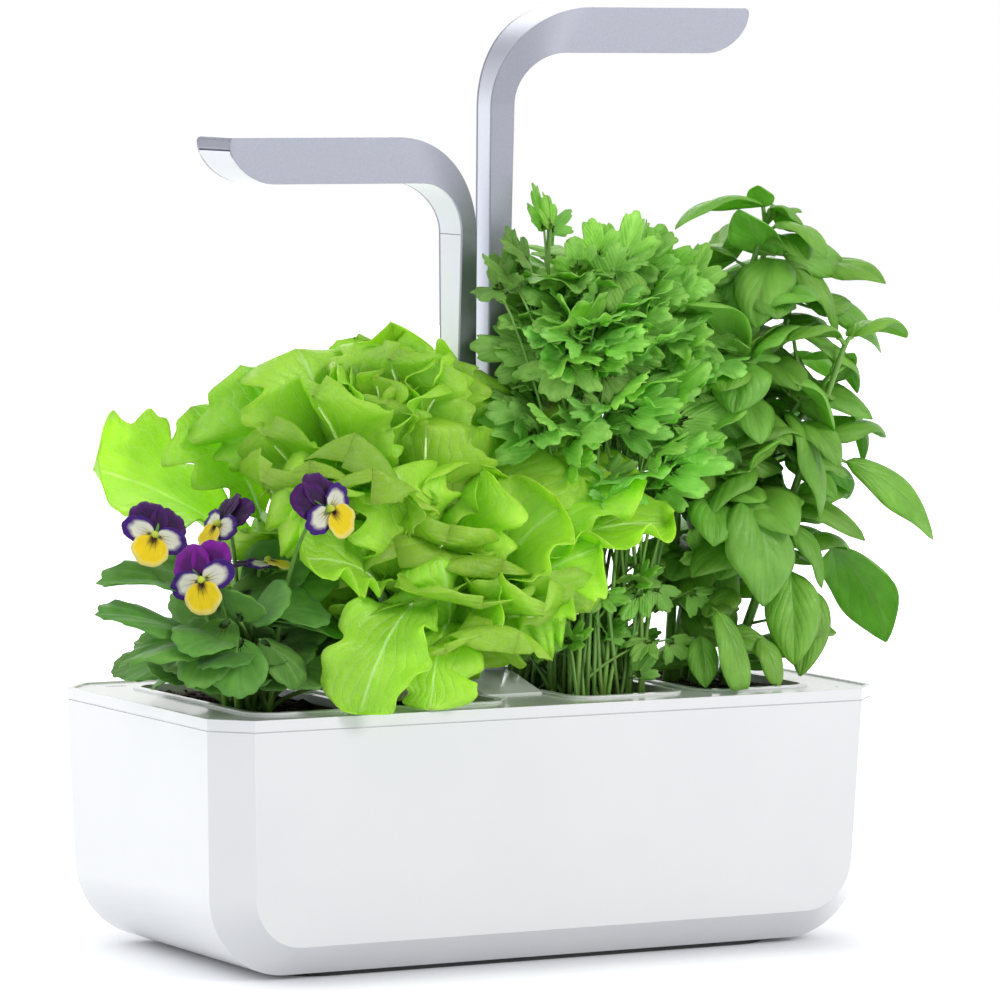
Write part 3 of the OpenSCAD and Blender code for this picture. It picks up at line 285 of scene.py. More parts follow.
def leaf_material(name, deep, bright, vein, share, rough=0.38, veins=9.0, slope=0.55, relief=0.5,
                  vein_mix=0.45, rib_width=0.1, cloud_scale=60.0, sheen=0.0, pucker=0.6):
    """Leaf with a rib, side veins and raised panels between them, read from its UV map."""
    m = Mat(name, Specular_IOR_Level=0.45, Sheen_Weight=sheen, Sheen_Roughness=0.5)
    uv = m.uv()
    wobble = m.scaled(m.noise(cloud_scale * 2.2, 2), 0.06, -0.03)
    across = m.math("ABSOLUTE", m.scaled(uv[0], 2.0, -1.0))
    along = m.math("ADD", uv[1], wobble)
    rib = m.ramp(across, (0.0, 1.0), (rib_width, 0.0))
    phase = m.math("SUBTRACT", m.times(along, veins), m.times(across, veins * slope))
    wave = m.stripes(m.times(phase, math.pi))
    side = m.times(m.ramp(wave, (0.0, 1.0), (0.22, 0.0)), m.ramp(across, (0.0, 1.0), (0.95, 0.15)))
    lines = m.math("MAXIMUM", rib, m.times(side, 0.7))
    net = m.times(m.ramp(m.cell_edges(cloud_scale * 9), (0.0, 1.0), (0.12, 0.0)), 0.22)
    lines_and_net = m.math("ADD", lines, net)
    tone = m.mix(m.ramp(m.noise(cloud_scale, 4), (0.3, 0.0), (0.7, 1.0)), deep, bright)
    tone = m.tinted(m.mix(m.times(lines_and_net, vein_mix, clamp=True), tone, vein))
    panels = m.bump(m.math("SUBTRACT", m.times(wave, pucker), lines_and_net), relief, 0.0007)
    m.see_through(m.mix(1.0, m.mix(0.35, tone, bright), (1.25, 1.3, 0.6), "MULTIPLY"), share)
    return m.look(Base_Color=tone, Normal=m.bump(m.noise(900, 2), 0.06, 0.0003, below=panels),
                  Roughness=m.scaled(m.noise(cloud_scale * 5, 3), 0.16, rough - 0.06))


def petal_material(name, heart, body, rim, rim_at, streak, share):
    """Velvety petal: its heart, body and rim colours, and dark lines that run out from the middle."""
    m = Mat(name, Sheen_Weight=0.15, Sheen_Roughness=0.45, Specular_IOR_Level=0.25)
    uv = m.uv()
    far = m.math("ADD", uv[1], m.scaled(m.noise(420, 3), 0.16, -0.08))
    ray = m.math("DIVIDE", m.scaled(uv[0], 2.0, -1.0), m.math("ADD", uv[1], 0.12))
    lines = m.ramp(m.stripes(m.times(ray, 7.0)), (0.0, 1.0), (0.42, 0.0))
    inner = m.ramp(far, (0.2, 1.0), (0.56, 0.0))
    narrow = m.ramp(m.math("ABSOLUTE", ray), (0.4, 1.0), (0.85, 0.0))
    streaks = m.times(m.times(lines, inner), narrow)
    tone = m.mix(m.ramp(far, (0.1, 0.0), (0.42, 1.0)), heart, body)
    tone = m.mix(m.ramp(far, (rim_at, 0.0), (min(rim_at + 0.16, 0.999), 1.0)), tone, rim)
    tone = m.tinted(m.mix(m.times(streaks, streak), tone, (0.035, 0.008, 0.02)))
    m.see_through(tone, share)
    return m.look(Base_Color=tone, Roughness=m.scaled(m.noise(800), 0.2, 0.5),
                  Normal=m.bump(m.stripes(m.times(ray, 16.0)), 0.35, 0.0003))


def soil_material():
    m = Mat("mat_substrate", Specular_IOR_Level=0.2)
    grain = m.noise(420, 6, 0.7)
    tone = m.ramp(grain, (0.3, (0.008, 0.005, 0.004)), (0.55, (0.035, 0.022, 0.016)),
                  (0.75, (0.11, 0.07, 0.045)))
    return m.look(Base_Color=tone, Roughness=m.scaled(grain, 0.3, 0.65),
                  Normal=m.bump(grain, 0.9, 0.001))


def felt_material():
    m = Mat("mat_felt", Sheen_Weight=0.4, Specular_IOR_Level=0.15)
    fibre = m.noise(900, 4, 0.75, stretch=(1, 1, 0.25), distortion=1.2)
    return m.look(Base_Color=m.ramp(fibre, (0.3, (0.55, 0.52, 0.46)), (0.7, (0.86, 0.84, 0.79))),
                  Roughness=m.scaled(fibre, 0.1, 0.85), Normal=m.bump(fibre, 0.8, 0.0006))


WHITE = plastic("mat_gloss_white", (0.83, 0.833, 0.85), (0.86, 0.862, 0.875), 0.13, 0.4, 0.03)
INNER = plastic("mat_inner_white", (0.7, 0.7, 0.71), (0.76, 0.76, 0.77), 0.4, 0.0, 0.1)
RUBBER = plastic("mat_rubber", (0.02, 0.02, 0.022), (0.04, 0.04, 0.043), 0.6, 0.0, 0.4, 700)
DARK = plastic("mat_dark_plastic", (0.015, 0.015, 0.017), (0.03, 0.03, 0.033), 0.32, 0.0, 0.2)
BOARD = plastic("mat_circuit_board", (0.012, 0.09, 0.035), (0.02, 0.15, 0.06), 0.3, 0.3, 0.15, 500)
BOARD_WHITE = plastic("mat_led_board", (0.74, 0.74, 0.7), (0.8, 0.8, 0.77), 0.35, 0.2, 0.1)
CHIP = plastic("mat_led_chip", (0.85, 0.6, 0.12), (0.95, 0.75, 0.2), 0.2, 0.6, 0.05)
FLOAT = plastic("mat_float", (0.7, 0.13, 0.03), (0.8, 0.2, 0.05), 0.5, 0.0, 0.3, 600)
BUTTON = plastic("mat_button", (0.5, 0.51, 0.53), (0.56, 0.57, 0.59), 0.3, 0.15, 0.1)
# the light covers are given a faint glow: painted light that whitens them against the green light bounced
# from the leaves
DIFFUSER = plastic("mat_diffuser", (0.78, 0.77, 0.83), (0.82, 0.81, 0.87), 0.34, 0.1, 0.06, glow=0.13)
# the silver lacquer is painted darker on faces that look up: painted shade
SILVER = metal("mat_lamp_silver", (0.64, 0.665, 0.745), (0.74, 0.765, 0.84), 0.3, 0.12,
               top=(0.4, 0.41, 0.475))
PLATE = metal("mat_lamp_plate", (0.26, 0.266, 0.31), (0.33, 0.339, 0.395), 0.36, 0.16)
STEEL = metal("mat_screw_steel", (0.5, 0.5, 0.51), (0.68, 0.68, 0.7), 0.25, 0.2, (1, 1, 0.1), 1200, 1.0)
ALU = metal("mat_aluminium", (0.6, 0.6, 0.61), (0.76, 0.76, 0.78), 0.3, 0.2, (1, 0.15, 0.15), 1500, 1.0)
CLEAR = clear_plastic("mat_clear", (0.9, 0.94, 0.95))
SOIL = soil_material()
FELT = felt_material()
LETTUCE = leaf_material("mat_lettuce", (0.4, 0.69, 0.035), (0.61, 0.87, 0.1), (0.84, 0.95, 0.58),
                        0.42, 0.34, veins=5, slope=0.9, relief=0.55, vein_mix=0.8, cloud_scale=42,
                        rib_width=0.05)
BASIL = leaf_material("mat_basil", (0.2, 0.45, 0.05), (0.31, 0.61, 0.095), (0.46, 0.72, 0.24), 0.36, 0.33,
                      veins=5.0, slope=0.75, relief=0.45, vein_mix=0.25, cloud_scale=70, pucker=0.7)
PARSLEY = leaf_material("mat_parsley", (0.28, 0.56, 0.11), (0.47, 0.77, 0.2), (0.6, 0.84, 0.32), 0.4, 0.4,
                        veins=6, slope=1.3, relief=0.5, vein_mix=0.3, cloud_scale=110, pucker=0.8)
VIOLA = leaf_material("mat_viola_leaf", (0.09, 0.28, 0.035), (0.17, 0.42, 0.06), (0.27, 0.52, 0.15),
                      0.28, 0.46, veins=3.5, slope=1.1, relief=0.25, vein_mix=0.22, cloud_scale=100,
                      sheen=0.15, pucker=0.4)
STEM = leaf_material("mat_stem", (0.16, 0.36, 0.06), (0.26, 0.48, 0.1), (0.3, 0.5, 0.14), 0.1, 0.4,
                     veins=3, slope=0.1, relief=0.2, vein_mix=0.2, cloud_scale=90)
PURPLE = petal_material("mat_petal_upper", (0.02, 0.003, 0.03), (0.03, 0.004, 0.05), (0.07, 0.01, 0.11),
                        0.7, 0.3, 0.2)
CREAM = petal_material("mat_petal_side", (0.85, 0.78, 0.3), (0.88, 0.88, 0.76), (0.07, 0.015, 0.24),
                       0.66, 1.0, 0.3)
YELLOW = petal_material("mat_petal_lower", (0.12, 0.02, 0.008), (0.97, 0.78, 0.015), (0.95, 0.86, 0.3),
                        0.8, 1.0, 0.3)

for material, names in (
        (WHITE, "tray mast_collar"), (INNER, "mast_sleeve control_housing left_ribbon right_ribbon"),
        (RUBBER, "foot_mat brake_pads"), (BOARD, "control_board"),
        (BOARD_WHITE, "left_led_board right_led_board"),
        (DARK, "power_socket indicator_led button_switch left_end_block right_end_block"),
        (CHIP, "left_leds right_leds"), (FLOAT, "level_float"), (BUTTON, "power_button"),
        (STEEL, "mast_screws"),
        (CLEAR, "light_pipe level_window float_guide"),
        (ALU, "left_spine right_spine left_heat_sink right_heat_sink")):
    for name in names.split():
        NODES[name].data.materials.clear()
        NODES[name].data.materials.append(material)


# ---------- mesh helpers
def quads(rows, columns, first=0, wrap=True):
    """Faces between the rows of a grid of vertices, whose rows close to rings where wrap is set."""
    faces = []
    for i in range(rows - 1):
        for j in range(columns if wrap else columns - 1):
            a, b = first + i * columns + j, first + i * columns + (j + 1) % columns
            faces.append((a, b, b + columns, a + columns))
    return faces


def cap(first, count, low=False):
    """One face over a ring of vertices, turned round at the low end."""
    face = tuple(range(first, first + count))
    return face[::-1] if low else face


def new_object(name, verts, faces, material, body, uvs=None, tints=None, smooth=True):
    """Object from vertices in millimetres. uvs and tints hold one value for each vertex."""
    mesh = bpy.data.meshes.new(name)
    mesh.from_pydata((np.asarray(verts, float) * MM).tolist(), [], faces)
    loops = np.empty(len(mesh.loops), dtype=np.int32)
    mesh.loops.foreach_get("vertex_index", loops)
    if uvs is not None:
        layer = mesh.uv_layers.new(name="UVMap")
        layer.data.foreach_set("uv", np.asarray(uvs, dtype=np.float32)[loops].ravel())
    if tints is not None:
        layer = mesh.color_attributes.new("tint", "FLOAT_COLOR", "POINT")
        rgba = np.ones((len(verts), 4), dtype=np.float32)
        rgba[:, :3] = np.asarray(tints, dtype=np.float32)
        layer.data.foreach_set("color", rgba.ravel())
    mesh.validate()
    mesh.polygons.foreach_set("use_smooth", [smooth] * len(mesh.polygons))
    mesh.materials.append(material)
    obj = link(bpy.data.objects.new(name, mesh))
    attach(obj, body)
    return obj


def stands_for(node):
    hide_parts(node)


def round_edges(obj, width, angle=30, segments=3):
    bevel = obj.modifiers.new("round", "BEVEL")
    bevel.width, bevel.segments, bevel.limit_method = width, segments, "ANGLE"
    bevel.angle_limit = math.radians(angle)
    normals = obj.modifiers.new("normals", "WEIGHTED_NORMAL")
    normals.keep_sharp = True


def edit_mesh(mesh, step):
    """Runs a step on the mesh's editable form."""
    editable = bmesh.new()
    editable.from_mesh(mesh)
    step(editable)
    editable.to_mesh(mesh)
    editable.free()


def normals_outwards(editable):
    bmesh.ops.recalc_face_normals(editable, faces=editable.faces)


class Sheets:
    """Collects the leaves, petals and stems of one piece, in millimetres."""

    def __init__(self):
        self.verts, self.faces, self.uvs, self.tints = [], [], [], []

    def add(self, points, uv, tint):
        first = len(self.verts)
        points = points.reshape(-1, 3)
        self.verts += points.tolist()
        self.uvs += uv.reshape(-1, 2).tolist()
        self.tints += [tint] * len(points)
        return first

    def grid(self, points, uv, tint, wrap=False):
        """points has the shape (rows, columns, 3)."""
        first = self.add(points, uv, tint)
        self.faces += quads(*points.shape[:2], first, wrap)
        return first

    def fan(self, points, uv, tint):
        """As grid, but the first row is one point."""
        columns = points.shape[1]
        apex = self.add(points[0, 0], uv[0, columns // 2], tint)
        first = self.grid(points[1:], uv[1:], tint)
        self.faces += [(first + j, first + j + 1, apex) for j in range(columns - 1)]

    def closed(self, rings, uv, tint):
        """As grid, for rings that are closed at both ends."""
        rows, columns = rings.shape[:2]
        first = self.grid(rings, uv, tint, wrap=True)
        self.faces += [cap(first, columns, low=True), cap(first + (rows - 1) * columns, columns)]

    def tube(self, line, radii, tint, sides=6):
        """Round stem along a line. Its radii are spread evenly over the line."""
        line = np.asarray(line, float)
        rows = len(line)
        along = np.gradient(line, axis=0)
        along /= np.linalg.norm(along, axis=1)[:, None]
        upright = abs(along[:, 2]).mean() >= 0.85
        across = np.cross(along, (1.0, 0.0, 0.0) if upright else (0.0, 0.0, 1.0))
        across /= np.linalg.norm(across, axis=1)[:, None]
        other = np.cross(along, across)
        radius = np.interp(np.linspace(0, 1, rows), np.linspace(0, 1, len(radii)), radii)[:, None, None]
        angle = np.linspace(0, 2 * math.pi, sides, endpoint=False)[None, :, None]
        rings = line[:, None] + radius * (np.cos(angle) * across[:, None] + np.sin(angle) * other[:, None])
        uv = np.full((rows, sides, 2), 0.5)
        uv[..., 1] = np.linspace(0, 1, rows)[:, None]
        self.closed(rings, uv, tint)

    def make(self, name, material, body, node, slot, thick=0.0):
        obj = new_object(name, self.verts, self.faces, material, body, self.uvs, self.tints)
        if thick:
            modifier = obj.modifiers.new("thick", "SOLIDIFY")
            modifier.thickness, modifier.offset = thick * MM, -1
        stands_for(node)


# ---------- bevelled copies of plain CAD shapes
def merge_flat_faces(editable):
    bmesh.ops.remove_doubles(editable, verts=editable.verts, dist=1e-6)
    bmesh.ops.dissolve_limit(editable, angle_limit=math.radians(0.5), verts=editable.verts,
                             edges=editable.edges, use_dissolve_boundaries=False)


def rounded_copy(node, body, material, width):
    """A copy of a CAD node with its flat faces merged and its edges rounded."""
    mesh = NODES[node].data.copy()
    edit_mesh(mesh, merge_flat_faces)
    obj = link(bpy.data.objects.new(node + "_rounded", mesh))
    mesh.materials.clear()
    mesh.materials.append(material)
    mesh.polygons.foreach_set("use_smooth", [True] * len(mesh.polygons))
    round_edges(obj, width)
    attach(obj, body)
    stands_for(node)


rounded_copy("tray", "tray", WHITE, 0.0005)
rounded_copy("mast_collar", "tray", WHITE, 0.0006)
rounded_copy("power_button", "power_button", BUTTON, 0.0004)
for pod in ("pod1", "pod2", "pod3", "pod4"):
    rounded_copy(pod + "_cup", pod, WHITE, 0.00035)

# ---------- tank, sizes as in the part's source
SEAM, LEAN, HALF_W, HALF_D = 105.0, math.tan(math.radians(2.2)), 160.0, 81.0
DECK_W, DECK_D, MAT_H, WALL, BEVEL_H = 145.7, 66.4, 2.0, 2.4, 13.4
OUTLINE_R, FACE_R = 36, 22
NOTCH_AT, NOTCH_SIZE = (0, 0.077, 0.0973), (0.0182, 0.016, 0.0153)


def u_curve(x_top, z_low, radius, y_top, steps=28):
    """One wall outline from its left top over the bottom to its right top."""
    half = [(x_top, SEAM)]
    for i in range(steps + 1):
        a = math.pi / 2 * i / steps
        half.append((x_top - LEAN * (SEAM - z_low - radius) - radius + radius * math.cos(a),
                     z_low + radius - radius * math.sin(a)))
    outline = [(-x, z) for x, z in half] + half[::-1]
    return [(x, y_top - math.copysign(LEAN, y_top) * (SEAM - z), z) for x, z in outline]


def make_tank():
    curves = [u_curve(DECK_W, MAT_H + BEVEL_H, FACE_R, -HALF_D), u_curve(HALF_W, MAT_H, OUTLINE_R, -DECK_D),
              u_curve(HALF_W, MAT_H, OUTLINE_R, DECK_D), u_curve(DECK_W, MAT_H + BEVEL_H, FACE_R, HALF_D)]
    n = len(curves[0])
    faces = [cap(0, n), cap(3 * n, n, low=True)]
    faces += [face[::-1] for face in quads(len(curves), n, wrap=False)]
    obj = new_object("tank_shell", [point for wall in curves for point in wall], faces, WHITE, "tank")

    def outwards(editable):
        """The shell is open at the top, so its normals are set against its middle."""
        normals_outwards(editable)
        middle = Vector((0, 0, 0.06))
        if sum(f.normal.dot(f.calc_center_median() - middle) for f in editable.faces) < 0:
            bmesh.ops.reverse_faces(editable, faces=editable.faces)

    edit_mesh(obj.data, outwards)
    shell = obj.modifiers.new("wall", "SOLIDIFY")
    shell.thickness, shell.offset, shell.use_even_offset = WALL * MM, -1, True
    bpy.ops.mesh.primitive_cube_add(size=1, location=NOTCH_AT)
    cutter = bpy.context.object
    cutter.scale = NOTCH_SIZE
    notch = obj.modifiers.new("notch", "BOOLEAN")
    notch.object, notch.operation, notch.solver = cutter, "DIFFERENCE", "EXACT"
    bpy.context.view_layer.update()
    finished = obj.evaluated_get(bpy.context.evaluated_depsgraph_get())
    mesh = bpy.data.meshes.new_from_object(finished)
    obj.modifiers.clear()
    obj.data = mesh
    bpy.data.objects.remove(cutter)
    round_edges(obj, 0.0007, 12)
    stands_for("tank")


make_tank()

# ---------- lamps, sizes as in the part's source
ARM_X, ARM_T, ARM_W, ARM_IN_W, ARM_L, END_T = 3.3, 9.1, 13.2, 21.0, 327.0, 3.0
HEAD_W, HEAD_T, REACH, TIP_L, NOSE_H = 31.2, 19.4, 125.2, 20.6, 4.7
BEND_OUT, BEND_IN, TAPER = 43.0, 22.0, 120.0
BAND_T, SIDE_T, COVER_T, GAP = 1.4, 1.2, 1.2, 0.06
GROOVE = 0.3                       # shadow line round the white covers
TIP_DROP, TIP_POWER, CORNER = 2.3, 1.8, 2.0
LAMP_TOP = {"left": 345.0, "right": 400.0}

# Cross section of the arm: a point on its outer side and one on its inner side, measured from the
# middle and the top of the lamp, its half width at both, and the thickness of the white cover.
Station = namedtuple("Station", "x z in_x in_z half in_half cover")


def column_station(z, in_half):
    return Station(ARM_X, z, ARM_X + ARM_T, z, ARM_W / 2, in_half, COVER_T)


def bend_station(t):
    a, k = math.pi / 2 * t, t * t * (3 - 2 * t)
    return Station(ARM_X + BEND_OUT * (1 - math.cos(a)), -BEND_OUT * (1 - math.sin(a)),
                   ARM_X + ARM_T + BEND_IN * (1 - math.cos(a)), -HEAD_T - BEND_IN * (1 - math.sin(a)),
                   ARM_W / 2 + k * (HEAD_W - ARM_W) / 2,
                   ARM_IN_W / 2 + k * (HEAD_W - ARM_IN_W) / 2, COVER_T)


def tip_station(degrees):
    a = math.radians(degrees)
    x = REACH - TIP_L + TIP_L * math.cos(a) ** (2 / TIP_POWER)
    z = -TIP_DROP - (HEAD_T - TIP_DROP) * math.sin(a) ** (2 / TIP_POWER)
    return Station(x, 0.0, x, z, HEAD_W / 2, HEAD_W / 2, min(3.0, COVER_T / max(0.3, math.sin(a))))


def plate_end(degrees):
    """Station of a side plate close to the tip, where its upper corner is round as well."""
    s = tip_station(degrees)
    drop = CORNER - math.sqrt(CORNER ** 2 - max(0.0, s.x - REACH + CORNER) ** 2)
    return s._replace(z=-drop, in_z=min(s.in_z, -drop - 0.2))


COVER_END = tip_station(27)        # the light cover and the band end here, and the nose starts
COLUMN = [column_station(-ARM_L + END_T, ARM_W / 2), column_station(-BEND_OUT - TAPER, ARM_W / 2),
          column_station(-BEND_OUT - TAPER / 2, (ARM_W + ARM_IN_W) / 4), bend_station(0)]
HEAD = [bend_station(i / 32) for i in range(33)] + [tip_station(d) for d in (90, 80, 70, 60, 50, 40, 33)]
HEAD.append(COVER_END)
ARM = COLUMN[:3] + HEAD
PLATE_ARM = ARM + [plate_end(d) for d in (21, 16, 11, 6, 0)]


def depth(s):
    return math.hypot(s.in_x - s.x, s.in_z - s.z)


def arm_point(s, down, side, inset):
    """Point of a station, down from its outer side and in from one of its two sides."""
    k = down / depth(s)
    return (s.x + (s.in_x - s.x) * k, side * (s.half + (s.in_half - s.half) * k - inset),
            s.z + (s.in_z - s.z) * k)


def cross_ring(s, top, bottom, inset, lower=0.0):
    corners = ((top, -1), (bottom, -1), (bottom, 1), (top, 1))
    return [(x, y, z - lower) for x, y, z in (arm_point(s, down, side, inset) for down, side in corners)]


def cover_ring(s, lower=0.0):
    return cross_ring(s, depth(s) - s.cover, depth(s), SIDE_T + GROOVE, lower)


def side_ring(s, side):
    return [arm_point(s, down, side, inset)
            for down, inset in ((0, 0), (depth(s), 0), (depth(s), SIDE_T), (0, SIDE_T))]


def box_ring(x, half, high, low):
    return [(x, -half, high), (x, -half, low), (x, half, low), (x, half, high)]


def arm_piece(lamp, name, node, shells, material, rounding):
    """Piece of a lamp, made of closed shells that each run through a list of rings."""
    side = -1 if lamp == "left" else 1
    verts, faces = [], []
    for rings in shells:
        first, n = len(verts), len(rings[0])
        verts += [(side * x, y, LAMP_TOP[lamp] + z) for ring in rings for x, y, z in ring]
        faces += quads(len(rings), n, first) + [cap(first, n, low=True), cap(len(verts) - n, n)]
    obj = new_object(f"{lamp}_{name}", verts, faces, material, f"{lamp}_lamp")
    edit_mesh(obj.data, normals_outwards)
    if rounding:
        round_edges(obj, rounding, 35, 2)
    else:
        obj.data.set_sharp_from_angle(angle=math.radians(25))
    stands_for(f"{lamp}_{node}")


EDGE_ROUND, CHEEK_ROUND = 0.0003, 0.0005       # metres
NOSE_HALF = HEAD_W / 2 - SIDE_T - GAP
NOSE = [box_ring(COVER_END.x - 0.01, NOSE_HALF, 0, -(depth(COVER_END) - COVER_END.cover - GAP)),
        box_ring(REACH - 1, NOSE_HALF, 0, -NOSE_H - 0.5), box_ring(REACH, NOSE_HALF, -1, -NOSE_H)]
# the light cover ends in a thin lip under the nose
LIP = box_ring(REACH - 0.6, HEAD_W / 2 - SIDE_T - GROOVE, -NOSE_H - 1, -NOSE_H - 2.4)

for lamp in ("left", "right"):
    arm_piece(lamp, "outer_band", "band", [[cross_ring(s, 0, BAND_T, SIDE_T + GAP) for s in ARM]],
              SILVER, EDGE_ROUND)
    arm_piece(lamp, "nose_cap", "band", [NOSE], PLATE, EDGE_ROUND)
    for name, side in (("front", -1), ("rear", 1)):
        arm_piece(lamp, name + "_cheek", name + "_plate", [[side_ring(s, side) for s in PLATE_ARM]],
                  PLATE, CHEEK_ROUND)
    arm_piece(lamp, "light_cover", "diffuser",
              [[cover_ring(s) for s in HEAD], [cover_ring(COVER_END), LIP]], DIFFUSER, 0)
    arm_piece(lamp, "inner_cover", "column_cover", [[cover_ring(s, GROOVE) for s in COLUMN]],
              DIFFUSER, 0)

# ---------- pods: substrate and wicks
POD_X = [-107.0, -43.5, 43.5, 107.0]
DECK, CUP_DEPTH, CUP_FLOOR, SOIL_DROP = 109.6, 60, 1.8, 2.8
SOIL_W, SOIL_L, SOIL_R = 50.4, 116.4, 9.2
SOIL_TOP, SOIL_FOOT = DECK - SOIL_DROP, DECK - CUP_DEPTH + CUP_FLOOR
TOP_RINGS, CRUMBS = 14, 260
SOIL_SEED, WICK_SEED = 40, 60
WICK_W, WICK_T, WICK_R, WICK_ROWS, WICK_Z = 14.0, 2.0, 0.8, 40, (4.7, SOIL_FOOT + 26)
OCTAHEDRON = ((1, 0, 0), (-1, 0, 0), (0, 1, 0), (0, -1, 0), (0, 0, 1), (0, 0, -1))
OCTAHEDRON_FACES = ((0, 2, 4), (2, 1, 4), (1, 3, 4), (3, 0, 4), (2, 0, 5), (1, 2, 5), (3, 1, 5), (0, 3, 5))


def round_outline(width, length, radius, steps=8):
    points = []
    for cx, cy, start in ((1, 1, 0), (-1, 1, 90), (-1, -1, 180), (1, -1, 270)):
        for i in range(steps + 1):
            a = math.radians(start + 90 * i / steps)
            points.append((cx * (width / 2 - radius) + radius * math.cos(a),
                           cy * (length / 2 - radius) + radius * math.sin(a)))
    return points


def make_soil(k):
    """Substrate block with a crumbly top and loose crumbs on it."""
    rng = random.Random(SOIL_SEED + k)
    outline = round_outline(SOIL_W, SOIL_L, SOIL_R)
    n, x0 = len(outline), POD_X[k]
    verts = []
    levels = [(SOIL_FOOT, 0.97), (SOIL_FOOT + 2, 1.0)]
    levels += [(z, 1.0) for z in np.linspace(SOIL_FOOT + 8, SOIL_TOP - 1.2, 6)]
    for z, share in levels:
        for x, y in outline:
            dent = 0.25 * rng.uniform(-1, 0) if SOIL_FOOT < z < SOIL_TOP - 2 else 0
            verts.append((x0 + x * share + dent * np.sign(x), y * share + dent * np.sign(y), z))
    for share in np.linspace(1, 0.04, TOP_RINGS + 1)[1:]:
        for x, y in outline:
            x, y = x * share, y * share
            z = SOIL_TOP + 0.5 + 1.5 * (0.5 - rng.random())
            z += 1.4 * math.sin(x * 0.35 + k) * math.cos(y * 0.17 + 2 * k)
            verts.append((x0 + x + rng.uniform(-0.5, 0.5), y + rng.uniform(-0.5, 0.5), z))
    faces = quads(len(levels) + TOP_RINGS, n) + [cap(0, n, low=True), cap(len(verts) - n, n)]
    for _ in range(CRUMBS):
        cx = rng.uniform(-SOIL_W / 2 + 3, SOIL_W / 2 - 3)
        cy = rng.uniform(-SOIL_L / 2 + 3, SOIL_L / 2 - 3)
        size, cz = rng.uniform(0.5, 1.7), SOIL_TOP + rng.uniform(0.2, 1.6)
        longer, turn = rng.uniform(1, 2.6), rng.uniform(0, math.pi)
        faces += [tuple(len(verts) + i for i in face) for face in OCTAHEDRON_FACES]
        for dx, dy, dz in OCTAHEDRON:
            q = size * rng.uniform(0.6, 1.1)
            x, y = dx * q * longer, dy * q
            verts.append((x0 + cx + x * math.cos(turn) - y * math.sin(turn),
                          cy + x * math.sin(turn) + y * math.cos(turn), cz + dz * q * 0.7))
    obj = new_object(f"pod{k + 1}_planting_mix", verts, faces, SOIL, f"pod{k + 1}", smooth=False)
    stands_for(f"pod{k + 1}_substrate")


def make_wick(k):
    """Felt strip with a slightly uneven surface."""
    rng = random.Random(WICK_SEED + k)
    ring = round_outline(WICK_W, WICK_T, WICK_R, 3)
    rings = np.zeros((WICK_ROWS, len(ring), 3))
    for i, z in enumerate(np.linspace(*WICK_Z, WICK_ROWS)):
        sway = 0.06 * math.sin(i * 0.7 + k)
        for j, (x, y) in enumerate(ring):
            fuzz = rng.uniform(-0.08, 0.03)
            rings[i, j] = (POD_X[k] + x * (1 + fuzz * 0.1), y * (1 + fuzz) + sway, z)
    strip = Sheets()
    strip.closed(rings, np.zeros((WICK_ROWS, len(ring), 2)), (1, 1, 1))
    strip.make(f"pod{k + 1}_felt_strip", FELT, f"pod{k + 1}", f"pod{k + 1}_wick", "wick_felt")


for k in range(4):
    make_soil(k)
    make_wick(k)

# ---------- plants: shapes, in millimetres
GOLDEN = 137.5                     # degrees from one leaf of a spiral to the next
# what leaves keep clear of: half width and depth round the columns, the heads' range of x and half
# depth, the height from which leaves below a head flatten with the room that is left there, the
# reach of the whole model in x and y, and the levels of soil and tray
COLUMN_X, COLUMN_Y = 16, 14
UNDER_HEAD_X, UNDER_HEAD_Y = (2, 129), 19
HERB_ROOM, LEFT_ROOM = (280, 20), (246, 15)
MODEL_X, MODEL_Y = (-209, 218), (-111, 100)
SOIL_LEVEL, TRAY_LEVEL, TRAY_X, TRAY_Y = 103, 111.5, 130, 58
LIGHT_WAY = (-0.35, -0.6, 0.7)     # small leaves look this way, towards the light of the room and the lamp
BASIL_SEED, LETTUCE_SEED, PARSLEY_SEED, VIOLA_SEED = 7, 23, 31, 41
YOUNG_STALK = (0.95, 1.05, 0.75)   # tints of stems
WOODY_STALK = (0.85, 0.95, 0.7)


def vec(x, y, z):
    return np.array([x, y, z], float)


def heading(angle):
    """Level direction at an angle in radians."""
    return vec(math.cos(angle), math.sin(angle), 0)


def spiral(count):
    """Places of leaves in a spiral: share of the way out, and angle."""
    return [(math.sqrt((k + 0.5) / count), math.radians(k * GOLDEN)) for k in range(count)]


def unit(v):
    return v / np.linalg.norm(v)


def unit_rows(v):
    return v / np.linalg.norm(v, axis=1)[:, None]


def chord_sides(base, tip):
    """Length, direction, level side and upper side of the line from base to tip."""
    chord = tip - base
    length = np.linalg.norm(chord)
    ahead = chord / length
    flat = vec(chord[0], chord[1], 0)
    reach = np.linalg.norm(flat)
    level = flat / reach if reach > 1e-6 else vec(1, 0, 0)
    side = vec(-level[1], level[0], 0)
    return length, ahead, side, np.cross(ahead, side)


def chord_frame(base, tip, bend, roll, yaw=0.0, steps=24):
    """Midrib from base to tip that arches by bend degrees, with its side and up directions."""
    length, ahead, side0, up0 = chord_sides(base, tip)
    r = math.radians(roll)
    side = math.cos(r) * side0 + math.sin(r) * up0
    up = math.cos(r) * up0 - math.sin(r) * side0
    s = np.linspace(0, 1, steps)
    rise = math.radians(bend) * (0.5 - s)
    swing = math.radians(yaw) * (0.5 - s)
    along = ((np.cos(rise) * np.cos(swing))[:, None] * ahead + np.sin(rise)[:, None] * up
             + (np.cos(rise) * np.sin(swing))[:, None] * side)
    line = np.vstack([np.zeros(3), np.cumsum((along[1:] + along[:-1]) / 2, axis=0)])
    line *= length / np.linalg.norm(line[-1])
    ups = unit_rows(np.cross(along, side))
    return s, base + line, unit_rows(np.cross(ups, along)), ups


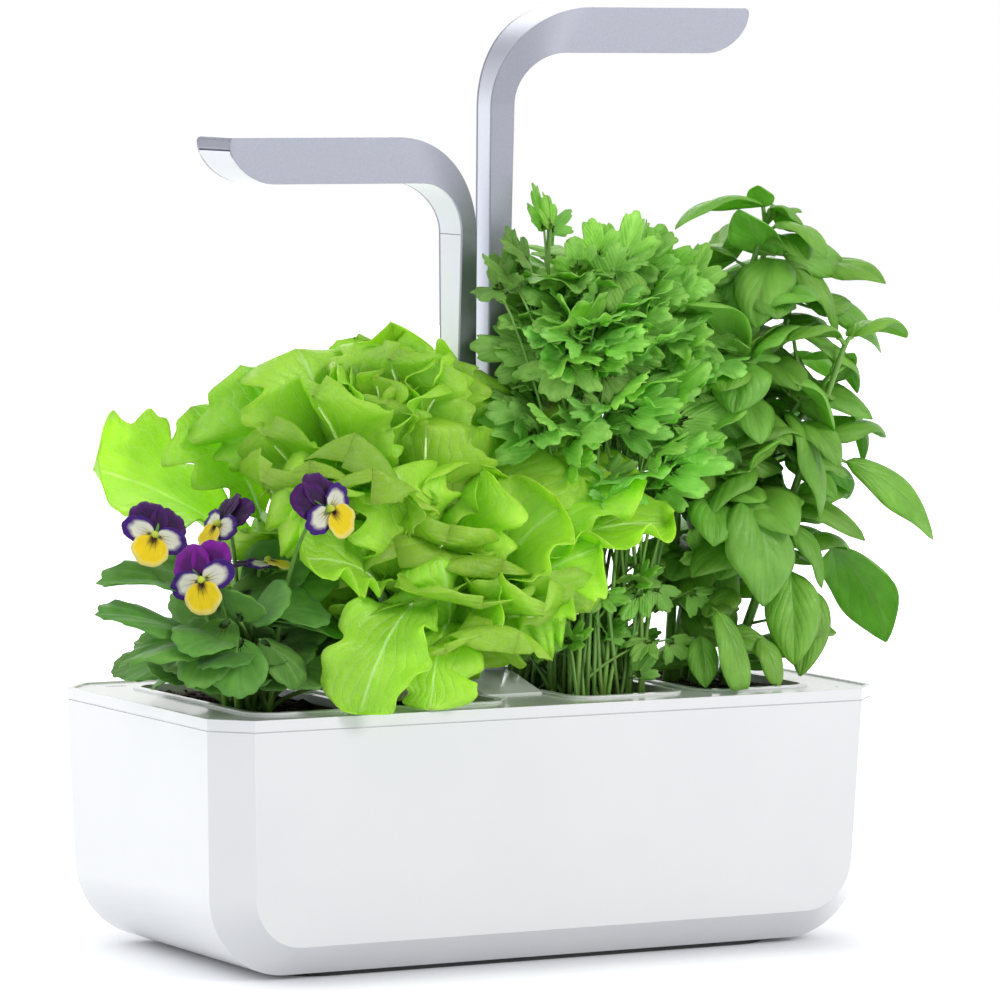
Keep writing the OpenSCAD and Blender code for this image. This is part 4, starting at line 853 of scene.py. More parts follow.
def petal_frame(centre, direction, normal, length, curl, steps=10):
    """As chord_frame, for a petal that starts flat in the flower's plane and curls by curl degrees."""
    s = np.linspace(0, 1, steps)
    a = np.radians(curl) * s
    along = np.cos(a)[:, None] * direction - np.sin(a)[:, None] * normal
    line = np.vstack([np.zeros(3), np.cumsum((along[1:] + along[:-1]) / 2, axis=0)]) * length / (steps - 1)
    ups = np.sin(a)[:, None] * direction + np.cos(a)[:, None] * normal
    return s, centre + line, np.repeat(np.cross(normal, direction)[None], steps, axis=0), ups


def leaf_surface(midrib, x, y, z):
    """Lays leaf coordinates, x along from 0 to 1 and y across and z up in mm, onto the midrib."""
    s, line, sides, ups = midrib
    inside = np.clip(x, 0, 1)
    over = x - inside
    start, end = unit(line[1] - line[0]), unit(line[-1] - line[-2])
    length = np.linalg.norm(np.diff(line, axis=0), axis=1).sum()
    points = np.empty(x.shape + (3,))
    for k in range(3):
        at, side, up = (np.interp(inside, s, v[:, k]) for v in (line, sides, ups))
        points[..., k] = at + y * side + z * up + over * length * np.where(over > 0, end[k], start[k])
    return points


def keep_clear(points):
    """Moves points out of the way of the lamps' columns, of the heads above the plants and of the tray,
    in place. Lettuce and violas keep to the left of the columns, the herbs to the right."""
    p = points.reshape(-1, 3)
    middle = p.mean(axis=0)
    home = -1 if middle[0] < 0 and middle[2] < 262 else 1
    in_column = (abs(p[:, 0]) < COLUMN_X) & (abs(p[:, 1]) < COLUMN_Y)
    if middle[0] * home > 0.5 * abs(middle[1]):
        p[in_column, 0] = home * COLUMN_X
    else:
        p[in_column, 1] = math.copysign(COLUMN_Y, middle[1])
    near, far = UNDER_HEAD_X
    low, room = HERB_ROOM if home > 0 else LEFT_ROOM
    outward = p[:, 0] * home
    under = (abs(p[:, 1]) < UNDER_HEAD_Y) & (outward > near) & (outward < far) & (p[:, 2] > low)
    p[under, 2] = low + room * np.tanh((p[under, 2] - low) / room)
    p[:, 0] = np.clip(p[:, 0], *MODEL_X)
    p[:, 1] = np.clip(p[:, 1], *MODEL_Y)
    p[:, 2] = np.maximum(p[:, 2], SOIL_LEVEL)
    over_tray = (p[:, 2] < TRAY_LEVEL) & ((abs(p[:, 1]) > TRAY_Y) | (abs(p[:, 0]) > TRAY_X))
    p[over_tray, 2] = TRAY_LEVEL
    return p.reshape(points.shape)


def blade_leaf(sheets, base, tip, width, bend, roll, tint, yaw=0.0, phase=0.0, rows=13, columns=11,
               wave=0.05):
    """Pointed oval leaf whose two halves puff up beside the midrib and curl down at the edge."""
    along, across = np.meshgrid(np.linspace(0, 1, rows), np.linspace(-1, 1, columns), indexing="ij")
    half = width / 2 * np.sin(math.pi * along ** 0.8) ** 0.72
    half[0] = half[-1] = width * 0.012
    z = 2 * half * (0.34 * abs(across) - 0.42 * abs(across) ** 2.2
                    + wave * np.sin(along * 9 + phase + across) * across ** 2)
    points = leaf_surface(chord_frame(base, tip, bend, roll, yaw), along, across * half, z)
    sheets.grid(keep_clear(points), np.stack([0.5 + 0.5 * across, along], axis=-1), tint)


def fan_leaf(sheets, midrib, length, width, tint, blunt, lobes, frill, cup, waist, rows, columns,
             petal=False):
    """Leaf or petal that fans out from its base. lobes holds (count, depth, phase) and frill
    (height, count, phase, power), as shares of the length."""
    turn = np.linspace(-0.985, 0.985, columns)
    angle = turn * math.radians(84)
    r = np.cos(turn * math.pi / 2) ** blunt
    for count, deep, phase in lobes:
        r = r * (1 - deep * (0.5 - 0.5 * np.cos(count * math.pi * turn + phase)) ** 2.5)
    r /= (r * np.cos(angle)).max()
    out = np.linspace(0, 1, rows)[:, None] ** 0.85
    x = out * r * np.cos(angle)
    y = out * r * np.sin(angle) * (width / 2 / length) / abs(r * np.sin(angle)).max()
    y = y * (1 - waist + waist * np.clip(x / 0.55, 0, 1) ** 1.3)
    z = cup * y ** 2 / (width / length)
    for height, count, phase, power in frill:
        z = z + height * out ** power * np.sin(count * math.pi * turn + phase) * (0.4 + 0.6 * r)
    points = leaf_surface(midrib, x, y * length, z * length)
    if not petal:
        points = keep_clear(points)
    uv = np.stack([0.5 + 0.5 * y / abs(y).max(), out + 0 * x if petal else x], axis=-1)
    sheets.fan(points, uv, tint)


def lobed_leaf(sheets, midrib, length, width, tint, lobes, scallops, waves, cup, rows=49, columns=13):
    """Broad leaf with round lobes down both sides. lobes and scallops hold (count, depth, left phase,
    right phase), and waves (height, count, left phase, right phase, power), as shares of the length."""
    along, across = np.meshgrid(np.linspace(0, 1, rows), np.linspace(-1, 1, columns), indexing="ij")

    def turns(count, left, right):
        return 2 * math.pi * count * along + np.where(across < 0, left, right)

    half = np.clip(along, 0.02, 1) ** 0.7 * (1 - along ** 3.0) ** 0.5
    half = width / 2 * half / half.max()
    for count, deep, left, right in (lobes, scallops):
        half = half * (1 - deep * (0.5 - 0.5 * np.cos(turns(count, left, right))) ** 2.4)
    x = along + 0.1 * abs(across) ** 1.5 * (1 - along) * np.clip(along * 4, 0, 1)
    z = cup * width * across ** 2 * 0.5
    for height, count, left, right, power in waves:
        z = z + (height * length * abs(across) ** power * np.sin(turns(count, left, right))
                 * np.clip(along * 3, 0, 1))
    points = leaf_surface(midrib, x, across * half, z)
    sheets.grid(keep_clear(points), np.stack([0.5 + 0.5 * across, along], axis=-1), tint)


def curve(a, b, lift, steps=9, sag=(0.0, 0.0, 0.0)):
    """Stem line from a to b that leaves a upwards."""
    a, b = np.asarray(a, float), np.asarray(b, float)
    middle = a + (b - a) * (0.18, 0.18, lift) + sag
    t = np.linspace(0, 1, steps)[:, None]
    return (1 - t) ** 2 * a + 2 * t * (1 - t) * middle + t ** 2 * b


def roll_towards(base, tip, normal):
    """Roll in degrees that turns a leaf's upper side to the given direction."""
    _, _, side, up = chord_sides(base, tip)
    return math.degrees(math.atan2(-np.dot(normal, side), np.dot(normal, up)))


def shade(rng, low, high, warm=0.08):
    """A tint of a leaf: its brightness, and a little more or less red and blue."""
    g = rng.uniform(low, high)
    return (g * (1 + rng.uniform(-warm, warm)), g, g * (1 + rng.uniform(-warm, warm)))


def placed(table):
    """Base, tip and further numbers of each leaf. A table's rows hold three numbers for the base,
    three for the tip, the width, and then the bend and roll in degrees, or one of the two."""
    return [(vec(*row[:3]), vec(*row[3:6]), *row[6:]) for row in table]


# ---------- basil
BASIL_LEAVES = [
    (122, -34, 315, 75, -40, 306, 20, 60, 12), (123, -33, 315, 117, -38, 324, 12, 30, 0),
    (126, -33, 314, 138, -42, 302, 22, 60, -20), (131, -32, 312, 145, -28, 312, 10, 40, 0),
    (130, -32, 294, 105, -42, 314, 24, -20, 10), (135, -30, 294, 172, -22, 288, 20, 60, 60),
    (129, -34, 292, 109, -52, 264, 27, 70, 0), (136, -30, 291, 158, -38, 260, 26, 60, 20),
    (145, -28, 275, 192, -20, 250, 18, 60, 50), (105, -38, 250, 75, -48, 274, 34, 60, 20),
    (113, -42, 250, 131, -52, 264, 26, 50, 0), (108, -44, 248, 94, -58, 228, 27, 60, 0),
    (118, -42, 244, 147, -54, 219, 32, 60, -15), (106, -44, 252, 98, -50, 259, 11, 20, 0),
    (110, -44, 253, 112, -50, 260, 10, 20, 0), (139, -32, 261, 176, -26, 233, 28, 60, 20),
    (130, -40, 227, 141, -52, 181, 38, 50, -10), (165, -28, 234, 183, -20, 202, 18, 50, 40),
    (171, -26, 203, 214, -30, 168, 22, 50, 50), (102, -54, 191, 105, -66, 146, 37, 60, 5),
    (130, -44, 179, 144, -50, 151, 22, 60, 20), (162, -30, 166, 189, -32, 124, 36, 50, -25),
    (131, -46, 158, 127, -56, 119, 24, 40, 10), (146, -40, 149, 135, -48, 113, 18, 40, -20),
    (85, -60, 144, 91, -70, 102, 21, 50, 5), (80, -56, 133, 79, -62, 112, 14, 40, 0),
    (114, -40, 202, 83, -50, 180, 30, 60, 10), (102, -30, 254, 71, -30, 268, 26, 50, 20),
    (104, -30, 232, 73, -38, 220, 20, 50, 0), (110, -34, 215, 81, -44, 203, 26, 60, 0),
    (151, -20, 204, 184, -6, 185, 30, 60, 10), (146, -10, 273, 138, 10, 277, 30, 60, 0),
    (159, -6, 247, 191, 12, 236, 30, 60, 0), (120, -30, 171, 99, -40, 155, 26, 50, 0),
    (113, -50, 130, 117, -58, 109, 18, 50, 0)]
BASIL_STEMS = [
    ((103, -14, 106), (128, -33, 316)), ((112, -8, 106), (107, -40, 252)),
    ((108, 4, 106), (146, -8, 276)), ((115, 2, 106), (163, -26, 236)), ((98, -4, 106), (100, -46, 200)),
    ((118, -12, 106), (140, -38, 232))]
BASIL_CROWN, BASIL_TOP = vec(POD_X[3] - 1, -6, SOIL_TOP), 312.0
MAIN_STEMS, STEM_STEPS, BASIL_FILLERS = 5, 15, 60


def basil_main_stem(i):
    """Foot and top of main stem i, as in the part's source."""
    az, q = math.radians(250 + i * GOLDEN), math.sqrt(i / MAIN_STEMS)
    foot = BASIL_CROWN + vec(q * 16 * math.cos(az), q * 26 * math.sin(az), 0)
    top = BASIL_CROWN + vec(26 + q * 56 * math.cos(az), q * 44 * math.sin(az) - 14,
                            (BASIL_TOP - SOIL_TOP) * (0.93 - 0.34 * q * q))
    return foot, top


def make_basil():
    rng = random.Random(BASIL_SEED)
    leaves, stems = Sheets(), Sheets()
    lines = [curve(a, b, 0.7, STEM_STEPS) for a, b in BASIL_STEMS]
    for line in lines:
        stems.tube(line, (2.4, 1.1), WOODY_STALK, 8)
    joints = np.vstack(lines)

    def petiole(base, end=0.75):
        far = np.linalg.norm(joints - (base - vec(0, 0, 5)), axis=1)
        if far.min() < 60:
            stems.tube(curve(joints[far.argmin()], base, 0.35, 7), (1.15, end), YOUNG_STALK)

    def swing(most):
        return rng.uniform(-most, most)

    for base, tip, width, bend, roll in placed(BASIL_LEAVES):
        tint = shade(rng, 0.98, 1.2)
        blade_leaf(leaves, base, tip, width, bend, roll, tint, swing(14), rng.uniform(0, 6), 17, 13)
        petiole(base)
    # main stems with their five pairs of large leaves
    for i in range(MAIN_STEMS):
        foot, top = basil_main_stem(i)
        stems.tube(np.linspace(foot, top, STEM_STEPS), (2.4, 1.2), WOODY_STALK, 8)
        for k in range(1, 6):
            at = foot + (top - foot) * (0.24 + 0.152 * k)
            for side in (0, 180):
                out = heading(math.radians(35 * i + 90 * k + side))
                size = (71 - 5 * k) * rng.uniform(0.72, 0.95)
                base = at + out * 5 + vec(0, 0, 3)
                tip = base + out * size * 0.9 - vec(0, 0, size * rng.uniform(0.0, 0.3))
                if tip[1] < -75 or tip[2] < 113:
                    continue
                blade_leaf(leaves, base, tip, size * 0.62, rng.uniform(55, 80), swing(14),
                           shade(rng, 0.85, 1.05), swing(14), rng.uniform(0, 6))
                stems.tube([at, (at + base) / 2 + (0, 0, 1), base], (1.2, 1.0, 0.8), YOUNG_STALK)
    # opposite pairs of leaves up each stem, every pair turned by a right angle
    for k, line in enumerate(lines):
        steps = int(np.linalg.norm(line[-1] - line[0]) / 21)
        for j in range(2, steps + 1):
            t = min(0.985, j / steps)
            at = vec(*(np.interp(t, np.linspace(0, 1, STEM_STEPS), line[:, c]) for c in range(3)))
            for side in (0, 180):
                out = heading(math.radians(90 * j + side + 35 * k + swing(20)))
                size = (38 if j < steps else 16) * rng.uniform(0.75, 1.1)
                base = at + out * rng.uniform(6, 12) + vec(0, 0, 4)
                tip = base + out * size * 0.86
                tip[2] += size * (rng.uniform(-0.75, 0.1) if j < steps else 0.8)
                if tip[0] < 70 or abs(tip[1]) > 80 or tip[2] < 112 or tip[2] > 318 or tip[0] > 200:
                    continue
                if at[0] > 150 and out[0] > 0.4 and at[2] > 180 and out[1] < 0:
                    continue
                # painted shade: leaves in the middle of the plant get darker tints
                dark = 0.72 if -30 < tip[1] < 20 else 0.95
                blade_leaf(leaves, base, tip, size * rng.uniform(0.6, 0.72), rng.uniform(30, 75), swing(18),
                           shade(rng, dark, dark + 0.2), swing(18), rng.uniform(0, 6), 11, 9)
                stems.tube(curve(at, base, 0.4, 5), (1.0, 0.7), YOUNG_STALK)
    # smaller leaves between the stems, turned to the light
    for _ in range(BASIL_FILLERS):
        base = vec(rng.uniform(88, 152), rng.uniform(-44, 6), rng.uniform(118, 282))
        if base[0] > 128 and base[2] < 170 or base[0] < 100 and base[2] > 250:
            continue
        az = math.radians(rng.uniform(180, 400))
        out = unit(vec(math.cos(az), math.sin(az) * 0.6, rng.uniform(-0.8, 0.2)))
        size = rng.uniform(20, 34)
        tip = base + out * size
        if tip[2] < 112:
            continue
        blade_leaf(leaves, base, tip, size * rng.uniform(0.6, 0.75), rng.uniform(30, 70),
                   0.7 * roll_towards(base, tip, LIGHT_WAY) + swing(20), shade(rng, 0.75, 1.05), swing(14),
                   rng.uniform(0, 6), 11, 9)
        petiole(base, 0.6)
    leaves.make("basil_foliage", BASIL, "pod4", "basil_leaves", "basil_leaf", 0.4)
    stems.make("basil_stalks", STEM, "pod4", "basil_stems", "herb_stem")


# ---------- lettuce
LETTUCE_LEAVES = [
    (-99, 25, 172, -164, 34, 205, 62, 30, 20), (-96, 10, 184, -123, 24, 231, 46, 40, 10),
    (-84, 0, 192, -107, 10, 249, 50, 40, 0), (-73, -6, 193, -87, -2, 258, 56, 40, 10),
    (-56, -10, 192, -63, -6, 255, 46, 30, 0), (-48, -14, 192, -47, -18, 266, 42, 40, 0),
    (-33, -12, 192, -16, -8, 254, 46, 40, 0), (-24, -14, 187, 14, -4, 246, 50, 40, 0),
    (-21, -18, 183, 34, -14, 234, 46, 50, 0), (-19, -22, 175, 36, -30, 219, 44, 50, 0),
    (-16, -26, 167, 55, -40, 207, 44, 50, -10), (-13, -30, 159, 65, -52, 181, 36, 50, 0),
    (-57, -40, 153, -69, -58, 209, 44, 40, 0), (-76, -30, 169, -91, -40, 216, 50, 50, 0),
    (-25, -34, 151, -23, -50, 207, 44, 60, 0), (-17, -36, 142, 9, -58, 190, 46, 60, 0),
    (-14, -40, 143, 25, -64, 173, 46, 50, 0), (-20, -42, 139, 14, -57, 151, 31, 50, 10),
    (-48, -50, 153, -99, -84, 109, 34, 90, 0), (-40, -52, 145, -65, -82, 110, 30, 90, 0),
    (-43, -50, 132, -55, -70, 172, 34, 50, 0), (-35, -52, 128, -26, -70, 162, 34, 60, 0),
    (-69, -44, 158, -115, -60, 173, 36, 60, 0), (-76, -40, 170, -113, -48, 209, 46, 50, 0)]
LETTUCE_CROWN, LETTUCE_RISE, HEART_LEAVES, LETTUCE_FILLERS = vec(-43.5, -8, 106), 155.0, 11, 58
# rings of the heart: middle x and y, share of the height, half width and half depth
HEART = [
    (0, 0, 0.28, 20, 38), (-1, 0, 0.44, 24, 44), (-2, -1, 0.58, 26, 44), (-2, -5, 0.71, 23, 36),
    (-2, -10, 0.8, 15, 22)]
LETTUCE_FACE = (-0.45, -0.75, 0.5)     # the outer leaves turn their upper sides this way


def lettuce_leaf(leaves, ribs, rng, base, tip, width, bend, roll, tint, crown):
    midrib = chord_frame(base, tip, bend, roll, rng.uniform(-12, 12))

    def phases():
        return rng.uniform(0, 2 * math.pi), rng.uniform(0, 2 * math.pi)

    lobes = (rng.uniform(2.4, 3.4), rng.uniform(0.22, 0.42), *phases())
    scallops = (rng.uniform(5, 7.5), rng.uniform(0.04, 0.1), *phases())
    waves = [(rng.uniform(0.03, 0.06), rng.uniform(0.7, 1.2), *phases(), 2.0),
             (rng.uniform(0.03, 0.06), rng.uniform(2.4, 3.6), *phases(), 3.0),
             (rng.uniform(0.008, 0.016), rng.uniform(6, 9), *phases(), 6.0)]
    lobed_leaf(leaves, midrib, np.linalg.norm(tip - base), width * 1.1, tint, lobes, scallops, waves,
               rng.uniform(-0.5, 0.4))
    _, line, _, ups = midrib
    ribs.tube(keep_clear(line[::3] - ups[::3] * 0.6), (1.9, 0.25), (1.5, 1.25, 2.4))
    # stalk down to the crown
    ribs.tube(curve(crown, base + (line[1] - line[0]), 0.55), (3.0, 1.9), (1.6, 1.35, 3.0), 8)


def make_lettuce():
    rng = random.Random(LETTUCE_SEED)
    leaves, ribs = Sheets(), Sheets()
    for base, tip, width, bend, roll in placed(LETTUCE_LEAVES):
        # painted light: leaves whose tips reach out to the front get lighter tints
        bright = 1.1 if tip[1] < -35 else 1.0
        roll += 0.75 * roll_towards(base, tip, LETTUCE_FACE)
        tint = shade(rng, bright - 0.06, bright + 0.08, 0.05)
        crown = LETTUCE_CROWN + vec(rng.uniform(-7, 7), rng.uniform(-7, 7), 0)
        lettuce_leaf(leaves, ribs, rng, base, tip, width * 1.25, bend, roll, tint, crown)
    # leaves that close round the heart
    for level, (x, y, rise, wide, deep) in enumerate(HEART):
        for j in range(HEART_LEAVES):
            az = math.radians(j * 360 / HEART_LEAVES + 17 * level + rng.uniform(-14, 14))
            out = vec(math.cos(az) * wide, math.sin(az) * deep, 0)
            flat = unit(out)
            middle = LETTUCE_CROWN + vec(x, y + 6, LETTUCE_RISE * rise) + out
            base = middle - flat * 10 + vec(0, 0, -30 + rng.uniform(-6, 4))
            sway = vec(-flat[1], flat[0], 0) * rng.uniform(-12, 12)
            tip = middle + flat * rng.uniform(-2, 13) + sway + vec(0, 0, rng.uniform(14, 32))
            lettuce_leaf(leaves, ribs, rng, base, tip, 46 * rng.uniform(0.85, 1.3), rng.uniform(10, 80),
                         rng.uniform(-35, 35), shade(rng, 0.88, 1.05, 0.05), LETTUCE_CROWN + flat * 4)
    # spreading leaves lower down
    for q, az in spiral(LETTUCE_FILLERS):
        out = heading(az)
        rise = 62 + 48 * (1 - q) + rng.uniform(-8, 8)
        base = LETTUCE_CROWN + out * (1.15, 0.95, 0) * (8 + 22 * q) + vec(0, 0, rise * 0.52 - 14 * q)
        tip = base + out * (26 + 34 * q) + vec(0, 0, 48 * (1 - 0.75 * q) + rng.uniform(-6, 10))
        if tip[0] > 20 and tip[1] > -20:
            continue
        if tip[0] < -80 and tip[1] < -15 and tip[2] < 185:
            tip[2] += 55
            base[2] += 25
        lettuce_leaf(leaves, ribs, rng, base, tip, 56 * rng.uniform(0.85, 1.15), rng.uniform(30, 80),
                     rng.uniform(-20, 20), shade(rng, 0.78, 0.98, 0.05), LETTUCE_CROWN + out * 5)
    leaves.make("lettuce_foliage", LETTUCE, "pod2", "lettuce_plant", "lettuce_leaf", 0.5)
    ribs.make("lettuce_ribs", LETTUCE, "pod2", "lettuce_plant", "lettuce_leaf")


# ---------- parsley
PARSLEY_LEAVES = [
    (22, -20, 305, 12, -26, 326, 7, 0), (24, -20, 305, 32, -26, 314, 9, 10),
    (24, -22, 306, 16, -28, 322, 5, 0), (13, -24, 292, -6, -30, 301, 12, 0),
    (10, -22, 287, -1, -28, 308, 9, 0), (6, -24, 283, -15, -30, 295, 10, 0),
    (-2, -24, 281, -15, -30, 276, 10, 10), (-1, -22, 280, 1, -28, 296, 10, 0),
    (28, -10, 296, 52, -16, 301, 12, 0), (38, -18, 288, 18, -24, 280, 14, 0),
    (50, -30, 291, 46, -36, 271, 19, 0), (26, -34, 268, 6, -40, 264, 14, 0),
    (22, -36, 252, 14, -42, 234, 23, 0), (43, -34, 261, 32, -40, 249, 13, 0),
    (44, -30, 247, 62, -36, 232, 17, 0), (77, -20, 287, 76, -26, 308, 21, 0),
    (94, -20, 279, 109, -26, 278, 20, 0), (66, -26, 266, 88, -32, 275, 18, -30),
    (51, -34, 268, 68, -40, 276, 6, 60), (74, -36, 263, 73, -42, 245, 8, 30),
    (82, -36, 229, 75, -42, 196, 19, 0), (94, -40, 229, 104, -46, 200, 14, 0),
    (83, -40, 236, 91, -46, 216, 13, 20), (29, -38, 238, 32, -44, 221, 9, 20),
    (36, -38, 240, 22, -44, 245, 8, 0), (67, -16, 291, 48, -22, 284, 16, 0),
    (33, -14, 275, 15, -20, 284, 14, 0), (45, -20, 275, 37, -26, 263, 14, 20),
    (67, -24, 254, 54, -30, 242, 14, 0), (102, -16, 261, 94, -22, 247, 16, 0),
    (116, -14, 265, 117, -20, 255, 14, 0), (81, -18, 240, 68, -24, 224, 16, 0),
    (64, -14, 223, 70, -20, 206, 16, 0), (110, -16, 248, 116, -22, 233, 14, 0),
    (59, -40, 152, 47, -46, 140, 11, 0), (65, -42, 154, 69, -48, 143, 11, 0),
    (62, -44, 131, 50, -50, 123, 10, 0), (71, -44, 131, 78, -50, 123, 11, 0),
    (54, -46, 116, 60, -52, 126, 9, 20), (84, -40, 151, 92, -46, 143, 11, 0),
    (48, -30, 148, 37, -36, 161, 11, 0), (95, -30, 163, 86, -36, 177, 13, 0),
    (51, -20, 181, 40, -26, 195, 13, 0), (69, -22, 181, 76, -28, 192, 13, 0)]
# leaves that stand out above the rest in front of the lamp
PARSLEY_TOP = [
    (44, -25, 293, 39, -30, 311, 14, 0), (57, -26, 290, 61, -31, 314, 16, 10),
    (34, -27, 288, 28, -33, 303, 13, 0), (68, -27, 288, 71, -32, 304, 15, 0),
    (88, -28, 282, 95, -33, 300, 15, 0), (50, -30, 284, 49, -36, 301, 15, 20),
    (104, -26, 268, 113, -31, 283, 15, 0), (78, -33, 274, 86, -39, 289, 15, -20),
    (40, -33, 276, 33, -39, 288, 13, 20)]
PARSLEY_CROWN, PARSLEY_STALKS, YOUNG_LEAVES = vec(43.5, -6, 106), 64, 60
# leaflets of a stalk: how far down from its end, and to which side
LEAFLETS = ((0, 0), (-9, 1), (-9, -1), (-20, 1), (-20, -1))


def make_parsley():
    rng = random.Random(PARSLEY_SEED)
    leaves, stems = Sheets(), Sheets()

    def leaflet(base, tip, width, tint, roll):
        midrib = chord_frame(base, tip, rng.uniform(5, 35), roll + roll_towards(base, tip, LIGHT_WAY),
                             rng.uniform(-10, 10), 10)
        lobes = [(2 / 0.62, 0.34, 0.0), (2 / 0.2, 0.1, rng.uniform(-0.5, 0.5))]
        frill = [(0.05, 3.0, rng.uniform(0, 6), 2.0), (0.025, 8.0, rng.uniform(0, 6), 3.0)]
        fan_leaf(leaves, midrib, np.linalg.norm(tip - base), width, tint, 0.22, lobes, frill,
                 rng.uniform(-0.6, 0.2), 0.2, 6, 53)

    def stalk(top, foot_radius):
        foot = PARSLEY_CROWN + vec(rng.uniform(-17, 17), rng.uniform(-38, 34), 0)
        line = keep_clear(curve(foot, top, 0.62, 13, (rng.uniform(-6, 6), rng.uniform(-6, 6), 0)))
        stems.tube(line, (foot_radius, 0.5), shade(rng, 0.9, 1.15))
        return line

    for base, tip, width, roll in placed(PARSLEY_LEAVES):
        # painted shade: high leaves beside the columns get darker tints
        dark = 0.6 if base[0] < 16 and base[2] > 270 else 1.0
        leaflet(base, tip, width * 1.75, shade(rng, dark, dark + 0.2), roll)
        stalk(base, 0.95)
    for q, az in spiral(PARSLEY_STALKS):
        top = vec(52 + 50 * q * math.cos(az), -6 + 46 * q * math.sin(az),
                  294 - 95 * q ** 1.6 * rng.uniform(0.3, 1))
        if abs(top[0]) < 24 and abs(top[1]) < 22:
            top[0] = 27
        if top[0] > 70 and top[2] > 290:
            top[2] = 280
        line = stalk(top, 1.15)
        end_way, flat = unit(line[-1] - line[-2]), heading(az)
        side = vec(-flat[1], flat[0], 0)
        for j, (along, off) in enumerate(LEAFLETS):
            if j > 2 and rng.random() < 0.4:
                continue
            start = top + end_way * along
            aim = unit(end_way * 0.5 + flat * 0.7 + side * off * 1.1 + vec(0, 0, rng.uniform(-0.6, 0.15)))
            base = start + aim * (3 if j == 0 else 8)
            size = (28 if j < 3 else 21) * rng.uniform(0.8, 1.15)
            # painted shade: leaflets in the middle of the bunch get darker tints
            dark = 0.9 if -25 < base[1] < 15 else 1.05
            leaflet(base, base + aim * size, size * rng.uniform(0.95, 1.15), shade(rng, dark, dark + 0.25),
                    rng.uniform(-25, 25))
            line = keep_clear(np.array([start, (start + base) / 2, base]))
            stems.tube(line, (0.6, 0.5, 0.4), (1, 1.1, 0.9), 5)
    # young leaves low down between the stalks
    for _ in range(YOUNG_LEAVES):
        az = rng.uniform(0, 2 * math.pi)
        top = PARSLEY_CROWN + vec(rng.uniform(8, 34) * math.cos(az), rng.uniform(10, 46) * math.sin(az),
                                  rng.uniform(12, 120))
        if top[0] < 20:
            continue
        stalk(top, 1.0)
        for off in (-1, 0, 1):
            aim = vec(math.cos(az + off), math.sin(az + off), rng.uniform(-0.2, 0.7))
            leaflet(top, top + aim * 14, 15, shade(rng, 0.9, 1.2), rng.uniform(-20, 20))
    for base, tip, width, roll in placed(PARSLEY_TOP):
        leaflet(base, tip, width * 1.75, shade(rng, 1.0, 1.25), roll)
        stalk(base, 0.95)
    leaves.make("parsley_foliage", PARSLEY, "pod3", "parsley_leaves", "parsley_leaf", 0.3)
    stems.make("parsley_stalks", STEM, "pod3", "parsley_stems", "herb_stem")


# ---------- violas
VIOLA_LEAVES = [
    (-141, -50, 157, -195, -34, 166, 22, 30), (-155, -50, 141, -200, -44, 154, 24, 30),
    (-143, -52, 141, -195, -58, 132, 24, 30), (-143, -52, 149, -168, -66, 123, 22, 40),
    (-142, -60, 149, -153, -74, 163, 24, 30), (-136, -58, 149, -124, -70, 162, 26, 30),
    (-130, -56, 153, -102, -62, 149, 24, 30), (-143, -62, 142, -150, -76, 119, 22, 40),
    (-133, -60, 141, -119, -70, 121, 20, 40), (-127, -50, 148, -86, -50, 138, 24, 30),
    (-143, -44, 152, -168, -30, 173, 24, 30), (-127, -40, 155, -101, -34, 176, 26, 20),
    (-137, -40, 156, -85, -40, 164, 24, 30), (-145, -56, 141, -174, -70, 139, 24, 30),
    (-138, -62, 137, -165, -74, 131, 20, 30)]
VIOLA_CROWN, VIOLA_FILLERS = vec(-118, -22, 106), 46
VIOLA_FACE = (-0.3, -0.6, 0.75)
# centre, azimuth and tilt of the way it faces, turn in its own plane, size, tint of the upper petals
FLOWERS = [
    ((-173, -44, 184), -105, 22, 24, 14.5, (1.0, 0.8, 1.2)),
    ((-163, -66, 167), -140, 6, -16, 15, (3.6, 0.8, 3.2)),
    ((-140, -34, 187), -176, 24, 10, 14, (0.9, 0.8, 1.0)),
    ((-114, -86, 196), -76, 14, -36, 14.5, (1.1, 0.8, 1.2)),
    ((-120, -42, 172), -60, 74, 0, 12, (0.9, 0.8, 1.0))]
# petals: angle from up, length and width as shares of the size, curl, how far behind the middle, kind
PETALS = [
    (30, 1.15, 1.2, 34, 3.6, "upper"), (-30, 1.15, 1.2, 30, 3.0, "upper"),
    (88, 0.95, 0.85, 10, 1.2, "side"), (-88, 0.95, 0.85, 12, 1.5, "side"),
    (180, 0.92, 1.15, 4, 0.0, "lower")]
PETAL_LOOKS = {"upper": PURPLE, "side": CREAM, "lower": YELLOW}


def viola_leaf(leaves, stems, rng, base, tip, width, bend, tint, crown):
    face = 0.6 * roll_towards(base, tip, VIOLA_FACE)
    midrib = chord_frame(base, tip, bend, face + rng.uniform(-15, 15), rng.uniform(-10, 10), 14)
    lobes = [(9, 0.035, rng.uniform(-0.5, 0.5))]
    frill = [(0.04, 2.2, rng.uniform(0, 6), 2.0), (0.01, 9.0, 0.0, 4.0)]
    fan_leaf(leaves, midrib, np.linalg.norm(tip - base), width * 1.2, tint, 0.3, lobes, frill,
             rng.uniform(-0.4, 0.5), 0.4, 8, 41)
    stems.tube(curve(crown, base, 0.6), (1.3, 0.8), shade(rng, 0.7, 0.95))


